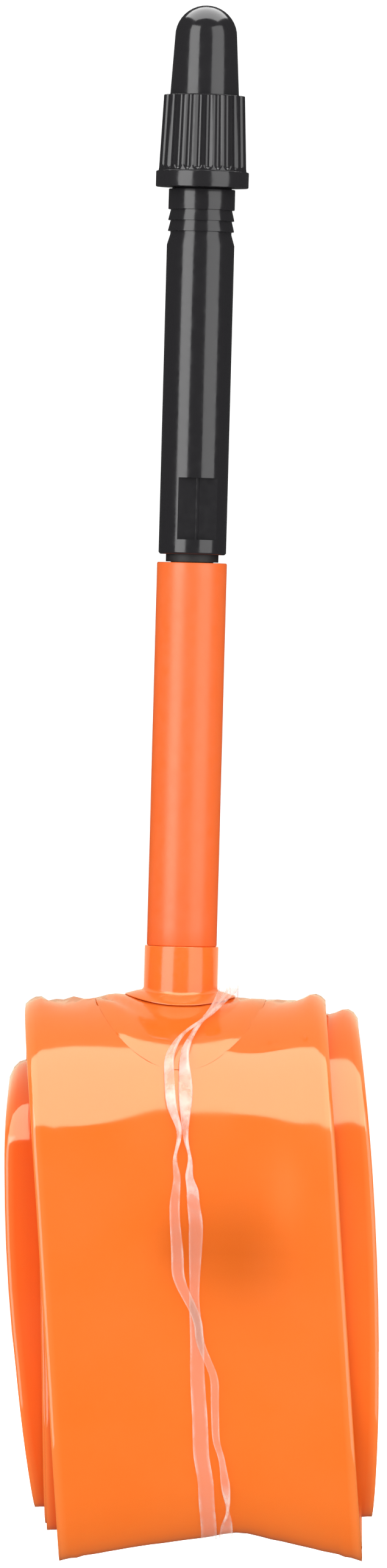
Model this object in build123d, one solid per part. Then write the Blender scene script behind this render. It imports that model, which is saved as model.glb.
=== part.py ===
from build123d import *
import math
import os

# A road bicycle inner tube as it is sold: the flat plastic tube is doubled and wound into an oval
# roll, its long valve stands up out of the roll, and a clear elastic band holds the turns.
# Millimetres. +Z runs up the valve, X is the axis the tube is wound about, and -Y is the front.
# The origin is on the valve's axis, on top of the foot's rim, where a wheel rim would sit.

# ---------------------------------------------------------------- tube
FILM = 0.25              # one wall of the tube
FLAT_WIDTH = 26.2        # the tube pressed flat, edge to edge
AIR_GAP = 0.10           # between neighbouring strands
TURNS = 12               # arcs at the top of the roll, from the outermost to the innermost
CORE_RADIUS = 0.90       # middle of the doubled tube at its innermost arc
ROLL_HEIGHT = 49.3       # over the outermost skin
SLACK = 2.9              # how far the outermost turn hangs below the others
TAIL = 12.0              # what hangs down the back past the valve, to the outer fold
CORE_LEG = 17.0          # last straight run, down to the inner fold
VALVE_HOLE_RADIUS = 1.5  # through the outer film, under the foot

# Sideways place of each turn, outermost first: the turns of the roll have slipped past each other.
TOP_SLIP = [-0.4, 2.4, 0.6, -1.6, -0.4, 0.5, 0.0, 0.6, 0.2, 0.5, 0.3, 0.4]
BOTTOM_SLIP = [4.0, 4.9, 2.6, 1.8, 2.4, 1.7, 2.3, 1.9, 2.2, 2.0, 2.1]

# ---------------------------------------------------------------- patch, foot and stem
PATCH_THICK = 0.25
PATCH_ACROSS = 7.5       # half the patch along X
PATCH_ROUND = 12.0       # half the patch along Y, wrapped round the roll
FOOT_RIM_THICK = 0.40
FOOT_RIM_STEP = 1.60     # how far the foot's thin rim stands out past its collar
COLLAR_HEIGHT = 3.9
COLLAR_STEP = 0.17       # collar past the stem, in radius
SOCKET_DEPTH = 2.9       # how deep the stem is bonded into the collar
SOCKET_WALL = 1.0        # stem's wall inside the socket
STEM_BORE = 1.5          # radius
STEM_LENGTH = 33.5       # collar to the top of the soft stem
STEM_WALL = 0.65         # soft wall round the bush

# ---------------------------------------------------------------- screwed joint
AIR_BORE = 1.2           # radius, down the middle of the valve body
SPIGOT_WALL = 0.65
SPIGOT_LENGTH = 6.0
SCREW_CLEAR = 0.05       # radial, in every screwed joint
BUSH_WALL = 0.5
BUSH_LENGTH = 6.8
NECK_GAP = 0.7           # between the soft stem and the valve body
NECK_STEP = 0.15         # neck past the spigot's thread, in radius
GASKET_STEP = 0.30       # neck gasket past the neck, in radius
SEAT_CLEAR = 0.05        # between faces of pieces that move apart

# ---------------------------------------------------------------- valve body
BARREL_RADIUS = 1.9
BODY_WALL = 1.05         # round the core barrel
BODY_LENGTH = 31.9       # its foot to the top of the grip ring
BODY_CHAMFER = 0.15
FLAT_DEPTH = 0.55        # of each wrench flat
FLAT_START = 1.3         # above the body's lower end
FLAT_HEIGHT = 5.4
FLAT_TURN = 8.0          # degrees the flats are turned about the valve's axis from front and back
RING_HEIGHT = 1.8        # plain grip ring under the cap
RIB_COUNT = 2
RIB_PITCH = 0.95
RIB_DEPTH = 0.28
CREST_DROP = 0.05        # rib crests below the body's surface
ROOT_LAND = 0.25
SHOULDER_HEIGHT = 0.95
THREAD_WALL = 0.7        # cap thread round the core barrel
THREAD_LENGTH = 4.2

# ---------------------------------------------------------------- valve core
BARREL_DEPTH = 10.2      # below the top of the cap thread
BARREL_HEAD_STEP = 0.15
BARREL_HEAD_HEIGHT = 0.6
GUIDE_LENGTH = 4.8       # where the barrel guides the pin
GUIDE_CLEAR = 0.10       # radial
BARREL_BORE = 1.1        # radius, below the guide
CORE_GASKET_DEPTH = 0.3  # radial
CORE_GASKET_HEIGHT = 1.0
CORE_GASKET_START = 1.0  # above the barrel's lower end
PIN_RADIUS = 0.6
PIN_HEAD_RADIUS = 1.2
PIN_HEAD_HEIGHT = 0.6
PIN_STROKE = 1.8
PIN_TIP = 0.25
PIN_TIP_STEP = 0.15
SEAL_RADIUS = 1.5
SEAL_HEIGHT = 1.75
STROKE_SPARE = 0.6       # room left under the pin at the end of its stroke
NUT_RADIUS = 1.95
NUT_SHANK_RADIUS = 1.4
NUT_HEIGHT = 2.4
NUT_SHANK_HEIGHT = 0.8
NUT_LIFT = 0.15          # above the barrel
NUT_FLUTES = 18
NUT_FLUTE_RADIUS = 0.18
NUT_CHAMFER = 0.2

# ---------------------------------------------------------------- cap
CAP_LIFT = 0.15          # above the grip ring
CAP_CLEAR = 0.10         # radial, round the core
CAP_WALL = 0.55
CAP_FLANGE_HEIGHT = 1.4
CAP_FLANGE_STEP = 0.22
KNURL_HEIGHT = 6.65
KNURL_STEP = 0.55        # knurled collar past the plain tip, in radius
KNURL_TAPER = 0.28
KNURL_FLUTES = 26
FLUTE_RADIUS = 0.38
FLUTE_DEPTH = 0.17
TIP_HEIGHT = 5.15        # plain tapered tip, up to the dome
TIP_TAPER = 0.30
CAP_HEADROOM = 0.5       # above the pin
CAP_TOP_WALL = 1.3
CAP_EDGE = 0.12          # small chamfer on the outer corners

# ---------------------------------------------------------------- elastic band
BAND_WIDTH = 1.55
BAND_THICK = 0.40
BAND_LIFT = 0.15         # above the tube, the patch or the foot's rim, whichever is under it
BAND_STEM_CLEAR = 0.10   # from the foot's collar
BAND_SPACING = 1.70      # between its two passes over the top
BAND_ARC_STEPS = 15      # short flats round each end of the roll
BAND_LEG_STEPS = 6       # and down each side
RIM_WAY = 0.13           # how far each side of the crown it is lifted over the foot's rim
PATCH_WAY = 0.30         # and over the patch

# Where each pass runs along X, against its way round the roll: 0 to 1 is over the top from back to
# front, 1 to 2 down the front, 2 to 3 underneath, and 3 to 4 up the back.
FIRST_PASS = [(0.72, 0.9), (0.80, -1.1), (0.90, -0.8), (1.00, 1.2), (1.30, 1.9), (2.00, 3.7), (2.30, 5.4)]
SECOND_PASS = [(0.72, 2.3), (0.80, 0.9), (0.90, 0.6), (1.00, -0.3), (1.30, 0.0), (2.00, 2.9), (2.30, 3.8)]

# ---------------------------------------------------------------- worked out from the sizes above
STRAND = 2 * FILM
STRAND_STEP = STRAND + AIR_GAP
PITCH = 2 * STRAND_STEP
ARC_RADII = [CORE_RADIUS + PITCH * (TURNS - 1 - turn) for turn in range(TURNS)]
SKIN = STRAND_STEP / 2 + STRAND / 2
SKIN_RADIUS = ARC_RADII[0] + SKIN
ROLL_TOP = -(PATCH_THICK + FOOT_RIM_THICK)
TOP_CENTRE = ROLL_TOP - SKIN_RADIUS
BOTTOM_SHIFT = -PITCH / 2
BOTTOM_SKIN_RADIUS = SKIN_RADIUS - PITCH / 2
LOOSE_CENTRE = ROLL_TOP - ROLL_HEIGHT + BOTTOM_SKIN_RADIUS
TIGHT_CENTRE = LOOSE_CENTRE + SLACK
# The two loose ends stay on the straight sides, however short the roll is.
TAIL_RUN = min(TAIL, 0.75 * (TOP_CENTRE - LOOSE_CENTRE))
CORE_RUN = min(CORE_LEG, 0.97 * (TOP_CENTRE - TIGHT_CENTRE))
TAIL_END = TOP_CENTRE - TAIL_RUN - SKIN
TAIL_WAY = 3 + (TAIL_END - LOOSE_CENTRE) / (TOP_CENTRE - LOOSE_CENTRE)

SPIGOT_RADIUS = AIR_BORE + SPIGOT_WALL
BUSH_BORE = SPIGOT_RADIUS + SCREW_CLEAR
BUSH_RADIUS = BUSH_BORE + BUSH_WALL
STEM_RADIUS = BUSH_RADIUS + STEM_WALL
SOCKET_RADIUS = STEM_BORE + SOCKET_WALL
COLLAR_RADIUS = STEM_RADIUS + COLLAR_STEP
FOOT_RIM_RADIUS = COLLAR_RADIUS + FOOT_RIM_STEP
STEM_TOP = COLLAR_HEIGHT + STEM_LENGTH

BODY_FOOT = STEM_TOP + NECK_GAP
BODY_TOP = BODY_FOOT + BODY_LENGTH
BODY_RADIUS = BARREL_RADIUS + BODY_WALL
NECK_RADIUS = SPIGOT_RADIUS + NECK_STEP
THREAD_RADIUS = BARREL_RADIUS + THREAD_WALL
THREAD_TOP = BODY_TOP + THREAD_LENGTH
BARREL_FOOT = THREAD_TOP - BARREL_DEPTH
BARREL_TOP = THREAD_TOP + BARREL_HEAD_HEIGHT
BARREL_HEAD_RADIUS = BARREL_RADIUS + BARREL_HEAD_STEP
SEAL_TOP = BARREL_FOOT - SEAT_CLEAR
PIN_FOOT = SEAL_TOP - SEAL_HEIGHT - PIN_HEAD_HEIGHT
CHAMBER_FLOOR = PIN_FOOT - PIN_STROKE - STROKE_SPARE
NUT_FOOT = BARREL_TOP + NUT_LIFT
PIN_TOP = NUT_FOOT + NUT_HEIGHT + PIN_STROKE + PIN_TIP

CAP_FOOT = BODY_TOP + CAP_LIFT
CAP_THREAD = THREAD_RADIUS + SCREW_CLEAR
CAP_BORE = max(NUT_RADIUS, BARREL_HEAD_RADIUS) + CAP_CLEAR
TIP_RADIUS = CAP_BORE + CAP_WALL
TIP_FOOT_RADIUS = TIP_RADIUS + TIP_TAPER
KNURL_TOP_RADIUS = max(TIP_FOOT_RADIUS, CAP_THREAD + CAP_WALL / 2) + KNURL_STEP
KNURL_FOOT_RADIUS = KNURL_TOP_RADIUS + KNURL_TAPER
CAP_FLANGE_RADIUS = KNURL_FOOT_RADIUS + CAP_FLANGE_STEP
KNURL_FOOT = CAP_FOOT + CAP_FLANGE_HEIGHT
KNURL_TOP = KNURL_FOOT + KNURL_HEIGHT
DOME_FOOT = KNURL_TOP + TIP_HEIGHT
CAP_TOP = DOME_FOOT + TIP_RADIUS


# ---------------------------------------------------------------- ways of making a solid
def turned(points):
    """Turn a closed outline of (radius, height) points about the valve's axis."""
    outline = Plane.XZ * make_face(Polyline(*points, close=True))
    return revolve(outline, Axis.Z)


def tube_round_axis(outer, inner, low, high):
    """A plain ring or sleeve on the valve's axis."""
    return turned([(inner, low), (outer, low), (outer, high), (inner, high)])


def rod(radius, low, high):
    """A plain cylinder on the valve's axis."""
    return Pos(0, 0, low) * Cylinder(radius, high - low, align=(Align.CENTER, Align.CENTER, Align.MIN))


def crosswise(radius, length):
    """A cylinder along X through the centre of the roll's top arcs."""
    return Pos(0, 0, TOP_CENTRE) * Rot(0, 90, 0) * Cylinder(radius, length)


def strip_arc(shift, height, radius, thick, width, start, turn, slip):
    """A flat strip bent about an X axis at (shift, height), its middle `slip` along X."""
    inner, outer = radius - thick / 2, radius + thick / 2
    first, last = math.radians(start), math.radians(start + turn)
    outline = [
        CenterArc((shift, height), outer, start, turn),
        CenterArc((shift, height), inner, start, turn),
    ]
    for angle in (first, last):
        near = (shift + inner * math.cos(angle), height + inner * math.sin(angle))
        far = (shift + outer * math.cos(angle), height + outer * math.sin(angle))
        outline.append(Line(near, far))
    face = Plane.YZ.offset(slip - width / 2) * make_face(outline)
    return extrude(face, amount=width)


def strip_leg(top, bottom, thick, width):
    """A flat strip from one (x, y, z) middle down to another, cut level at both ends."""
    ends = [Plane(origin=end, z_dir=(0, 0, 1)) * Rectangle(width, thick) for end in (bottom, top)]
    return loft(ends, ruled=True)


def joined(pieces):
    """One solid from strip pieces that meet face to face."""
    return pieces[0].fuse(*pieces[1:])


# ---------------------------------------------------------------- tube
def strand(side):
    """One of the tube's two strands: side is 1 for the outer one and -1 for the inner one."""
    step = side * STRAND_STEP / 2
    pieces = []
    last = TURNS - 1
    for turn in range(TURNS):
        radius = ARC_RADII[turn]
        top, front = TOP_SLIP[turn], -(radius + step)
        pieces.append(strip_arc(0, TOP_CENTRE, radius + step, STRAND, FLAT_WIDTH, 0, 180, top))
        if turn == last:
            break
        bottom = BOTTOM_SLIP[turn]
        centre = TIGHT_CENTRE if turn else LOOSE_CENTRE
        high, low = (top, front, TOP_CENTRE), (bottom, front, centre)
        pieces.append(strip_leg(high, low, STRAND, FLAT_WIDTH))
        under = radius - PITCH / 2 + step
        pieces.append(strip_arc(BOTTOM_SHIFT, centre, under, STRAND, FLAT_WIDTH, 180, 180, bottom))
        back = ARC_RADII[turn + 1] + step
        high, low = (TOP_SLIP[turn + 1], back, TOP_CENTRE), (bottom, back, centre)
        pieces.append(strip_leg(high, low, STRAND, FLAT_WIDTH))
    tail_y, core_y = ARC_RADII[0] + step, -(CORE_RADIUS + step)
    for y, slip, length in ((tail_y, TOP_SLIP[0], TAIL_RUN), (core_y, TOP_SLIP[last], CORE_RUN)):
        pieces.append(strip_leg((slip, y, TOP_CENTRE), (slip, y, TOP_CENTRE - length), STRAND, FLAT_WIDTH))
    return pieces


def tube_ring():
    """The whole tube: two strands, and the folds where one turns back into the other."""
    radius = STRAND_STEP / 2
    folds = []
    for y, length, slip in ((ARC_RADII[0], TAIL_RUN, TOP_SLIP[0]), (-CORE_RADIUS, CORE_RUN, TOP_SLIP[-1])):
        folds.append(strip_arc(y, TOP_CENTRE - length, radius, STRAND, FLAT_WIDTH, 180, 180, slip))
    ring = joined(strand(1) + strand(-1) + folds)
    return ring - rod(VALVE_HOLE_RADIUS, ROLL_TOP - FILM, ROLL_TOP + FILM)


def valve_patch():
    """Thin oval patch that backs the valve, wrapped over the outermost turn."""
    length = 4 * PATCH_ACROSS
    shell = crosswise(SKIN_RADIUS + PATCH_THICK, length) - crosswise(SKIN_RADIUS, length)
    oval = Pos(0, 0, TOP_CENTRE) * extrude(Ellipse(PATCH_ACROSS, PATCH_ROUND), amount=2 * SKIN_RADIUS)
    return (shell & oval) - rod(VALVE_HOLE_RADIUS, ROLL_TOP - 1, 1)


# ---------------------------------------------------------------- foot and stem
def stem_foot():
    """Moulded foot: a thin rim that follows the patch, and the collar that holds the stem."""
    under = ROLL_TOP - 2
    rim = rod(FOOT_RIM_RADIUS, under, 0) & crosswise(SKIN_RADIUS - ROLL_TOP, 4 * FOOT_RIM_RADIUS)
    collar = rod(COLLAR_RADIUS, under, COLLAR_HEIGHT)
    foot = (rim + collar) - crosswise(SKIN_RADIUS + PATCH_THICK, 4 * FOOT_RIM_RADIUS)
    foot -= rod(STEM_BORE, under, COLLAR_HEIGHT)
    return foot - rod(SOCKET_RADIUS, COLLAR_HEIGHT - SOCKET_DEPTH, COLLAR_HEIGHT)


def stem_tube():
    """Long soft stem, reduced at its lower end for the socket and bored out above for the bush."""
    low = COLLAR_HEIGHT - SOCKET_DEPTH
    bush_foot = STEM_TOP - BUSH_LENGTH
    return turned([
        (STEM_BORE, low), (SOCKET_RADIUS, low), (SOCKET_RADIUS, COLLAR_HEIGHT),
        (STEM_RADIUS, COLLAR_HEIGHT), (STEM_RADIUS, STEM_TOP), (BUSH_RADIUS, STEM_TOP),
        (BUSH_RADIUS, bush_foot), (STEM_BORE, bush_foot),
    ])


def stem_bush():
    """Rigid bush bonded into the top of the soft stem, which the valve body screws into."""
    return tube_round_axis(BUSH_RADIUS, BUSH_BORE, STEM_TOP - BUSH_LENGTH, STEM_TOP)


# ---------------------------------------------------------------- valve body
def rib_outline():
    """The body's outer corners from its shoulder up to the grip ring."""
    ring_foot = BODY_TOP - RING_HEIGHT
    root, crest = BODY_RADIUS - RIB_DEPTH, BODY_RADIUS - CREST_DROP
    lowest = ring_foot - RIB_COUNT * RIB_PITCH
    land = lowest - ROOT_LAND
    points = [(BODY_RADIUS, land - SHOULDER_HEIGHT), (root, land), (root, lowest)]
    for rib in range(RIB_COUNT):
        height = lowest + rib * RIB_PITCH
        points += [(crest, height), (root, height + RIB_PITCH)]
    return points + [(crest, ring_foot), (crest, BODY_TOP)]


def valve_body():
    """Rigid upper stem: spigot, neck, wrench flats, ribs, grip ring, cap thread and core chamber."""
    spigot_foot = STEM_TOP - SPIGOT_LENGTH
    neck_foot = STEM_TOP + SEAT_CLEAR
    outline = [
        (AIR_BORE, spigot_foot), (SPIGOT_RADIUS, spigot_foot), (SPIGOT_RADIUS, neck_foot),
        (NECK_RADIUS, neck_foot), (NECK_RADIUS, BODY_FOOT), (BODY_RADIUS - BODY_CHAMFER, BODY_FOOT),
        (BODY_RADIUS, BODY_FOOT + BODY_CHAMFER),
    ]
    outline += rib_outline()
    outline += [
        (THREAD_RADIUS, BODY_TOP), (THREAD_RADIUS, THREAD_TOP), (BARREL_RADIUS, THREAD_TOP),
        (BARREL_RADIUS, CHAMBER_FLOOR), (AIR_BORE, CHAMBER_FLOOR),
    ]
    body = turned(outline)
    middle = BODY_RADIUS - FLAT_DEPTH + BODY_RADIUS / 2
    height = BODY_FOOT + FLAT_START + FLAT_HEIGHT / 2
    for side in (0, 180):
        place = Rot(0, 0, side + FLAT_TURN) * Pos(0, middle, height)
        body -= place * Box(2 * BODY_RADIUS, BODY_RADIUS, FLAT_HEIGHT)
    return body


def neck_gasket():
    """Sealing ring round the neck, between the soft stem and the valve body."""
    return tube_round_axis(NECK_RADIUS + GASKET_STEP, NECK_RADIUS, STEM_TOP + SEAT_CLEAR, BODY_FOOT)


# ---------------------------------------------------------------- valve core
def core_barrel():
    """Barrel pressed into the body: it guides the pin, and its lower end is the valve seat."""
    guide, guide_foot = PIN_RADIUS + GUIDE_CLEAR, BARREL_TOP - GUIDE_LENGTH
    groove = BARREL_RADIUS - CORE_GASKET_DEPTH
    low = BARREL_FOOT + CORE_GASKET_START
    high = low + CORE_GASKET_HEIGHT
    return turned([
        (BARREL_BORE, BARREL_FOOT), (BARREL_RADIUS, BARREL_FOOT), (BARREL_RADIUS, low), (groove, low),
        (groove, high), (BARREL_RADIUS, high), (BARREL_RADIUS, THREAD_TOP),
        (BARREL_HEAD_RADIUS, THREAD_TOP), (BARREL_HEAD_RADIUS, BARREL_TOP), (guide, BARREL_TOP),
        (guide, guide_foot), (BARREL_BORE, guide_foot),
    ])


def core_gasket():
    """Soft ring in the barrel's groove."""
    low = BARREL_FOOT + CORE_GASKET_START
    groove = BARREL_RADIUS - CORE_GASKET_DEPTH
    return tube_round_axis(BARREL_RADIUS, groove, low, low + CORE_GASKET_HEIGHT)


def valve_pin():
    """Thin pin with a head under its seal, and a tip spread so that the nut can't come off."""
    head_top = PIN_FOOT + PIN_HEAD_HEIGHT
    spread, neck = PIN_RADIUS + PIN_TIP_STEP, PIN_TOP - PIN_TIP
    return turned([
        (0, PIN_FOOT), (PIN_HEAD_RADIUS, PIN_FOOT), (PIN_HEAD_RADIUS, head_top), (PIN_RADIUS, head_top),
        (PIN_RADIUS, neck), (spread, neck + PIN_TIP / 2), (PIN_RADIUS, PIN_TOP), (0, PIN_TOP),
    ])


def pin_seal():
    """Rubber seal that the pin pulls up against the barrel."""
    return tube_round_axis(SEAL_RADIUS, PIN_RADIUS, SEAL_TOP - SEAL_HEIGHT, SEAL_TOP)


def lock_nut():
    """Small knurled nut that locks the valve shut."""
    top, waist = NUT_FOOT + NUT_HEIGHT, NUT_FOOT + NUT_SHANK_HEIGHT
    bore = PIN_RADIUS + SCREW_CLEAR
    nut = turned([
        (bore, NUT_FOOT), (NUT_SHANK_RADIUS, NUT_FOOT), (NUT_SHANK_RADIUS, waist),
        (NUT_RADIUS - NUT_CHAMFER, waist), (NUT_RADIUS, waist + NUT_CHAMFER),
        (NUT_RADIUS, top - NUT_CHAMFER), (NUT_RADIUS - NUT_CHAMFER, top), (bore, top),
    ])
    flute = Pos(NUT_RADIUS, 0, waist + NUT_HEIGHT / 2) * Cylinder(NUT_FLUTE_RADIUS, 2 * NUT_HEIGHT)
    cutters = [Rot(0, 0, 360 * step / NUT_FLUTES) * flute for step in range(NUT_FLUTES)]
    shank = rod(NUT_SHANK_RADIUS, NUT_FOOT - NUT_HEIGHT, waist)
    return nut - [cutter - shank for cutter in cutters]


# ---------------------------------------------------------------- cap
def cap_blank():
    """The cap before its knurling: domed tip, tapered collar and flange."""
    centre = (0, DOME_FOOT)
    wall = [
        (TIP_RADIUS, DOME_FOOT), (TIP_FOOT_RADIUS, KNURL_TOP),
        (KNURL_TOP_RADIUS - CAP_EDGE, KNURL_TOP), (KNURL_TOP_RADIUS, KNURL_TOP - CAP_EDGE),
        (KNURL_FOOT_RADIUS, KNURL_FOOT), (CAP_FLANGE_RADIUS - CAP_EDGE, KNURL_FOOT),
        (CAP_FLANGE_RADIUS, KNURL_FOOT - CAP_EDGE), (CAP_FLANGE_RADIUS, CAP_FOOT + CAP_EDGE),
        (CAP_FLANGE_RADIUS - CAP_EDGE, CAP_FOOT), (0, CAP_FOOT), (0, CAP_TOP),
    ]
    outline = [CenterArc(centre, TIP_RADIUS, 0, 90), Polyline(*wall)]
    return revolve(Plane.XZ * make_face(outline), Axis.Z)


def cap_hollow():
    """What the cap is hollow round: the thread, then the core, then a narrowing end."""
    ceiling, shelf = CAP_TOP - CAP_TOP_WALL, THREAD_TOP + CAP_CLEAR + SCREW_CLEAR
    bore_top = PIN_TOP + CAP_HEADROOM
    return turned([
        (0, CAP_FOOT - 1), (CAP_THREAD, CAP_FOOT - 1), (CAP_THREAD, shelf), (CAP_BORE, shelf),
        (CAP_BORE, bore_top), (CAP_BORE / 2, ceiling), (0, ceiling),
    ])


def valve_cap():
    """Screw-on cap, with flutes down its tapered collar."""
    slant = math.degrees(math.atan2(KNURL_TAPER, KNURL_HEIGHT))
    middle = (KNURL_FOOT_RADIUS + KNURL_TOP_RADIUS) / 2 + FLUTE_RADIUS - FLUTE_DEPTH
    length = KNURL_HEIGHT + 1
    place = Pos(middle, 0, KNURL_FOOT + KNURL_HEIGHT / 2) * Rot(0, -slant, 0)
    flute = place * Pos(0, 0, length / 2 - KNURL_HEIGHT / 2) * Cylinder(FLUTE_RADIUS, length)
    cutters = [Rot(0, 0, 360 * step / KNURL_FLUTES) * flute for step in range(KNURL_FLUTES)]
    return cap_blank() - cutters - cap_hollow()


# ---------------------------------------------------------------- elastic band
def between(stops, way):
    """Read a value off a list of (way, value) stops, eased from each stop to the next."""
    for (start, low), (end, high) in zip(stops, stops[1:]):
        if way <= end:
            share = (way - start) / (end - start)
            return low + (high - low) * (1 - math.cos(math.pi * share)) / 2
    return stops[-1][1]


def band_lift(way):
    """How far the middle of the band's thickness stands off the tube's skin, `way` round the roll."""
    bare = BAND_LIFT + BAND_THICK / 2
    on_patch, on_rim = bare + PATCH_THICK, bare - ROLL_TOP
    stops = [
        (0, bare), (0.5 - PATCH_WAY, on_patch), (0.5 - RIM_WAY, on_rim), (0.5 + RIM_WAY, on_rim),
        (0.5 + PATCH_WAY, on_patch), (1, bare), (4, bare),
    ]
    return between(stops, way)


def band_section(way, x):
    """A flat rectangle across the band, `way` round the roll and `x` along it."""
    lift = band_lift(way)
    top_radius, bottom_radius = SKIN_RADIUS + lift, BOTTOM_SKIN_RADIUS + lift
    low_back = BOTTOM_SHIFT + bottom_radius
    side = min(int(way), 3)
    share = way - side
    if side == 0:
        lean = 180 * share
        y = top_radius * math.cos(math.radians(lean))
        z = TOP_CENTRE + top_radius * math.sin(math.radians(lean))
    elif side == 1:
        y, z = -top_radius, TOP_CENTRE + (LOOSE_CENTRE - TOP_CENTRE) * share
        lean = 180
    elif side == 2:
        lean = 180 + 180 * share
        y = BOTTOM_SHIFT + bottom_radius * math.cos(math.radians(lean))
        z = LOOSE_CENTRE + bottom_radius * math.sin(math.radians(lean))
    else:
        z = LOOSE_CENTRE + (TOP_CENTRE - LOOSE_CENTRE) * share
        y = low_back + (top_radius - low_back) * min(1, (way - 3) / (TAIL_WAY - 3))
        lean = 0
    outward = (0, math.cos(math.radians(lean)), math.sin(math.radians(lean)))
    along = (0, -outward[2], outward[1])
    place = Plane(origin=(x, y, z), x_dir=(1, 0, 0), z_dir=along)
    return place * Rectangle(BAND_WIDTH, BAND_THICK)


def elastic_band():
    """Flat clear band that goes twice round the roll, beside the stem, and crosses itself in front."""
    beside = COLLAR_RADIUS + BAND_STEM_CLEAR + BAND_WIDTH / 2
    over = (beside, beside + BAND_SPACING)
    ways = [step / BAND_ARC_STEPS for step in range(BAND_ARC_STEPS)]
    ways += [1 + step / BAND_LEG_STEPS for step in range(BAND_LEG_STEPS)]
    ways = sorted(ways + [way + 2 for way in ways] + [TAIL_WAY, 4])
    pieces = []
    for one, route in enumerate((FIRST_PASS, SECOND_PASS)):
        stops = [(0, over[one]), (0.5, over[one])] + route + [(4, over[1 - one])]
        sections = [band_section(way, between(stops, way)) for way in ways]
        pieces += [loft([near, far], ruled=True) for near, far in zip(sections, sections[1:])]
    return joined(pieces)


# ---------------------------------------------------------------- write every piece
PIECES = {
    "tube_ring": tube_ring,
    "valve_patch": valve_patch,
    "stem_foot": stem_foot,
    "stem_tube": stem_tube,
    "stem_bush": stem_bush,
    "valve_body": valve_body,
    "neck_gasket": neck_gasket,
    "core_barrel": core_barrel,
    "core_gasket": core_gasket,
    "valve_pin": valve_pin,
    "pin_seal": pin_seal,
    "lock_nut": lock_nut,
    "valve_cap": valve_cap,
    "elastic_band": elastic_band,
}

os.makedirs("parts", exist_ok=True)
for name, make in PIECES.items():
    export_step(make(), f"parts/{name}.step")
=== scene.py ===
# %% [markdown]
# # A rolled inner tube with a long valve
# This notebook dresses the fixed frame of a light plastic inner tube. The tube lies flat and doubled,
# is wound into an oval roll, and is held by a clear elastic band. Its long valve stands up out of the
# roll. Every piece is modelled in millimetres about the frame's own origin, on top of the valve's
# foot, and is turned into metres when it is finished.

# %% Load the frame
import math

import bmesh
import bpy
from mathutils import Matrix, Vector, noise


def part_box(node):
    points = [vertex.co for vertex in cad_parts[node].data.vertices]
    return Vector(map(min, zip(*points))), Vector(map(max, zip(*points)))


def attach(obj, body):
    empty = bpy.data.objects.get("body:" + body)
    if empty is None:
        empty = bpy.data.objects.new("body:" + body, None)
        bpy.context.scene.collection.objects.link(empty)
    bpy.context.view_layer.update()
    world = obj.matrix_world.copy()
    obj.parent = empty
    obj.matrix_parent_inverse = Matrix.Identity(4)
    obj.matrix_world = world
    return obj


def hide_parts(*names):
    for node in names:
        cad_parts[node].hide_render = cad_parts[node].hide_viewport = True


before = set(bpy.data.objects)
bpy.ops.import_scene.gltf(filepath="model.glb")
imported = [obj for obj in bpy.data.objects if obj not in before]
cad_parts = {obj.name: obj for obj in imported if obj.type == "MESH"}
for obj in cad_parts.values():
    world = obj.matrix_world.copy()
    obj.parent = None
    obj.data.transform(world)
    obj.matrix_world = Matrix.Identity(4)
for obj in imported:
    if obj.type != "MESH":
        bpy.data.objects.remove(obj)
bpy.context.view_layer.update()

# %% [markdown]
# ## Helpers
# Operators work on whatever is selected, and the frame's own pieces are selected when it has loaded.
# So each step first clears the selection, opens one piece, and picks what it needs by place.

# %% Modelling helpers
MM = 0.001


def box_mm(node):
    """Lowest and highest corner of a frame piece, in millimetres."""
    low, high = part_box(node)
    return low / MM, high / MM


def start_clean():
    if bpy.context.mode != "OBJECT":
        bpy.ops.object.mode_set(mode="OBJECT")
    bpy.ops.object.select_all(action="DESELECT")


def open_piece(piece, mode="VERT"):
    """Edit one piece, with all of it selected."""
    start_clean()
    bpy.context.view_layer.objects.active = piece
    piece.select_set(True)
    bpy.ops.object.mode_set(mode="EDIT")
    bpy.ops.mesh.select_mode(type=mode)
    bpy.ops.mesh.select_all(action="SELECT")


def pick(piece, kind, test):
    """Select only the verts, edges or faces that pass the test."""
    bpy.ops.mesh.select_all(action="DESELECT")
    shape = bmesh.from_edit_mesh(piece.data)
    for part in getattr(shape, kind):
        if test(part):
            part.select_set(True)
    bmesh.update_edit_mesh(piece.data)


def close_piece():
    bpy.ops.object.mode_set(mode="OBJECT")


def smooth(low, high, value):
    """0 below low, 1 above high, and an even curve between."""
    share = min(1.0, max(0.0, (value - low) / (high - low)))
    return share * share * (3 - 2 * share)


def bump_at(value, middle, spread):
    """A bell curve, 1 in the middle."""
    return math.exp(-((value - middle) / spread) ** 2)


def apply_modifier(piece, kind, **settings):
    start_clean()
    bpy.context.view_layer.objects.active = piece
    piece.select_set(True)
    modifier = piece.modifiers.new(kind.title(), kind)
    for name, value in settings.items():
        setattr(modifier, name, value)
    bpy.ops.object.modifier_apply(modifier=modifier.name)


def shade(piece, degrees):
    start_clean()
    bpy.context.view_layer.objects.active = piece
    piece.select_set(True)
    bpy.ops.object.shade_smooth_by_angle(angle=math.radians(degrees))


def finish_piece(piece, name, material, body, slot, *nodes):
    """Turn a piece into metres and give it its name, finish and place in the frame."""
    start_clean()
    piece.name = piece.data.name = name
    piece.data.transform(Matrix.Scale(MM, 4))
    piece.data.materials.clear()
    piece.data.materials.append(material)
    if nodes:
        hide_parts(*nodes)
    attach(piece, body)
    piece.data.calc_loop_triangles()
    print(name, len(piece.data.loop_triangles), "triangles on", body)


# %% [markdown]
# ## Camera and stage
# The valve leans a little in the frame, so the camera is rolled by that much and looks along +Y, very
# slightly down. It stands far enough off that the roll and the cap keep their true proportions.

# %% Camera
VIEW_CENTRE = Vector((0.65, 0, 18.07))
VIEW_HEIGHT = 137.0
VIEW_DISTANCE = 1200.0
VIEW_ROLL = 1.545
VIEW_DOWN = 0.8

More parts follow.
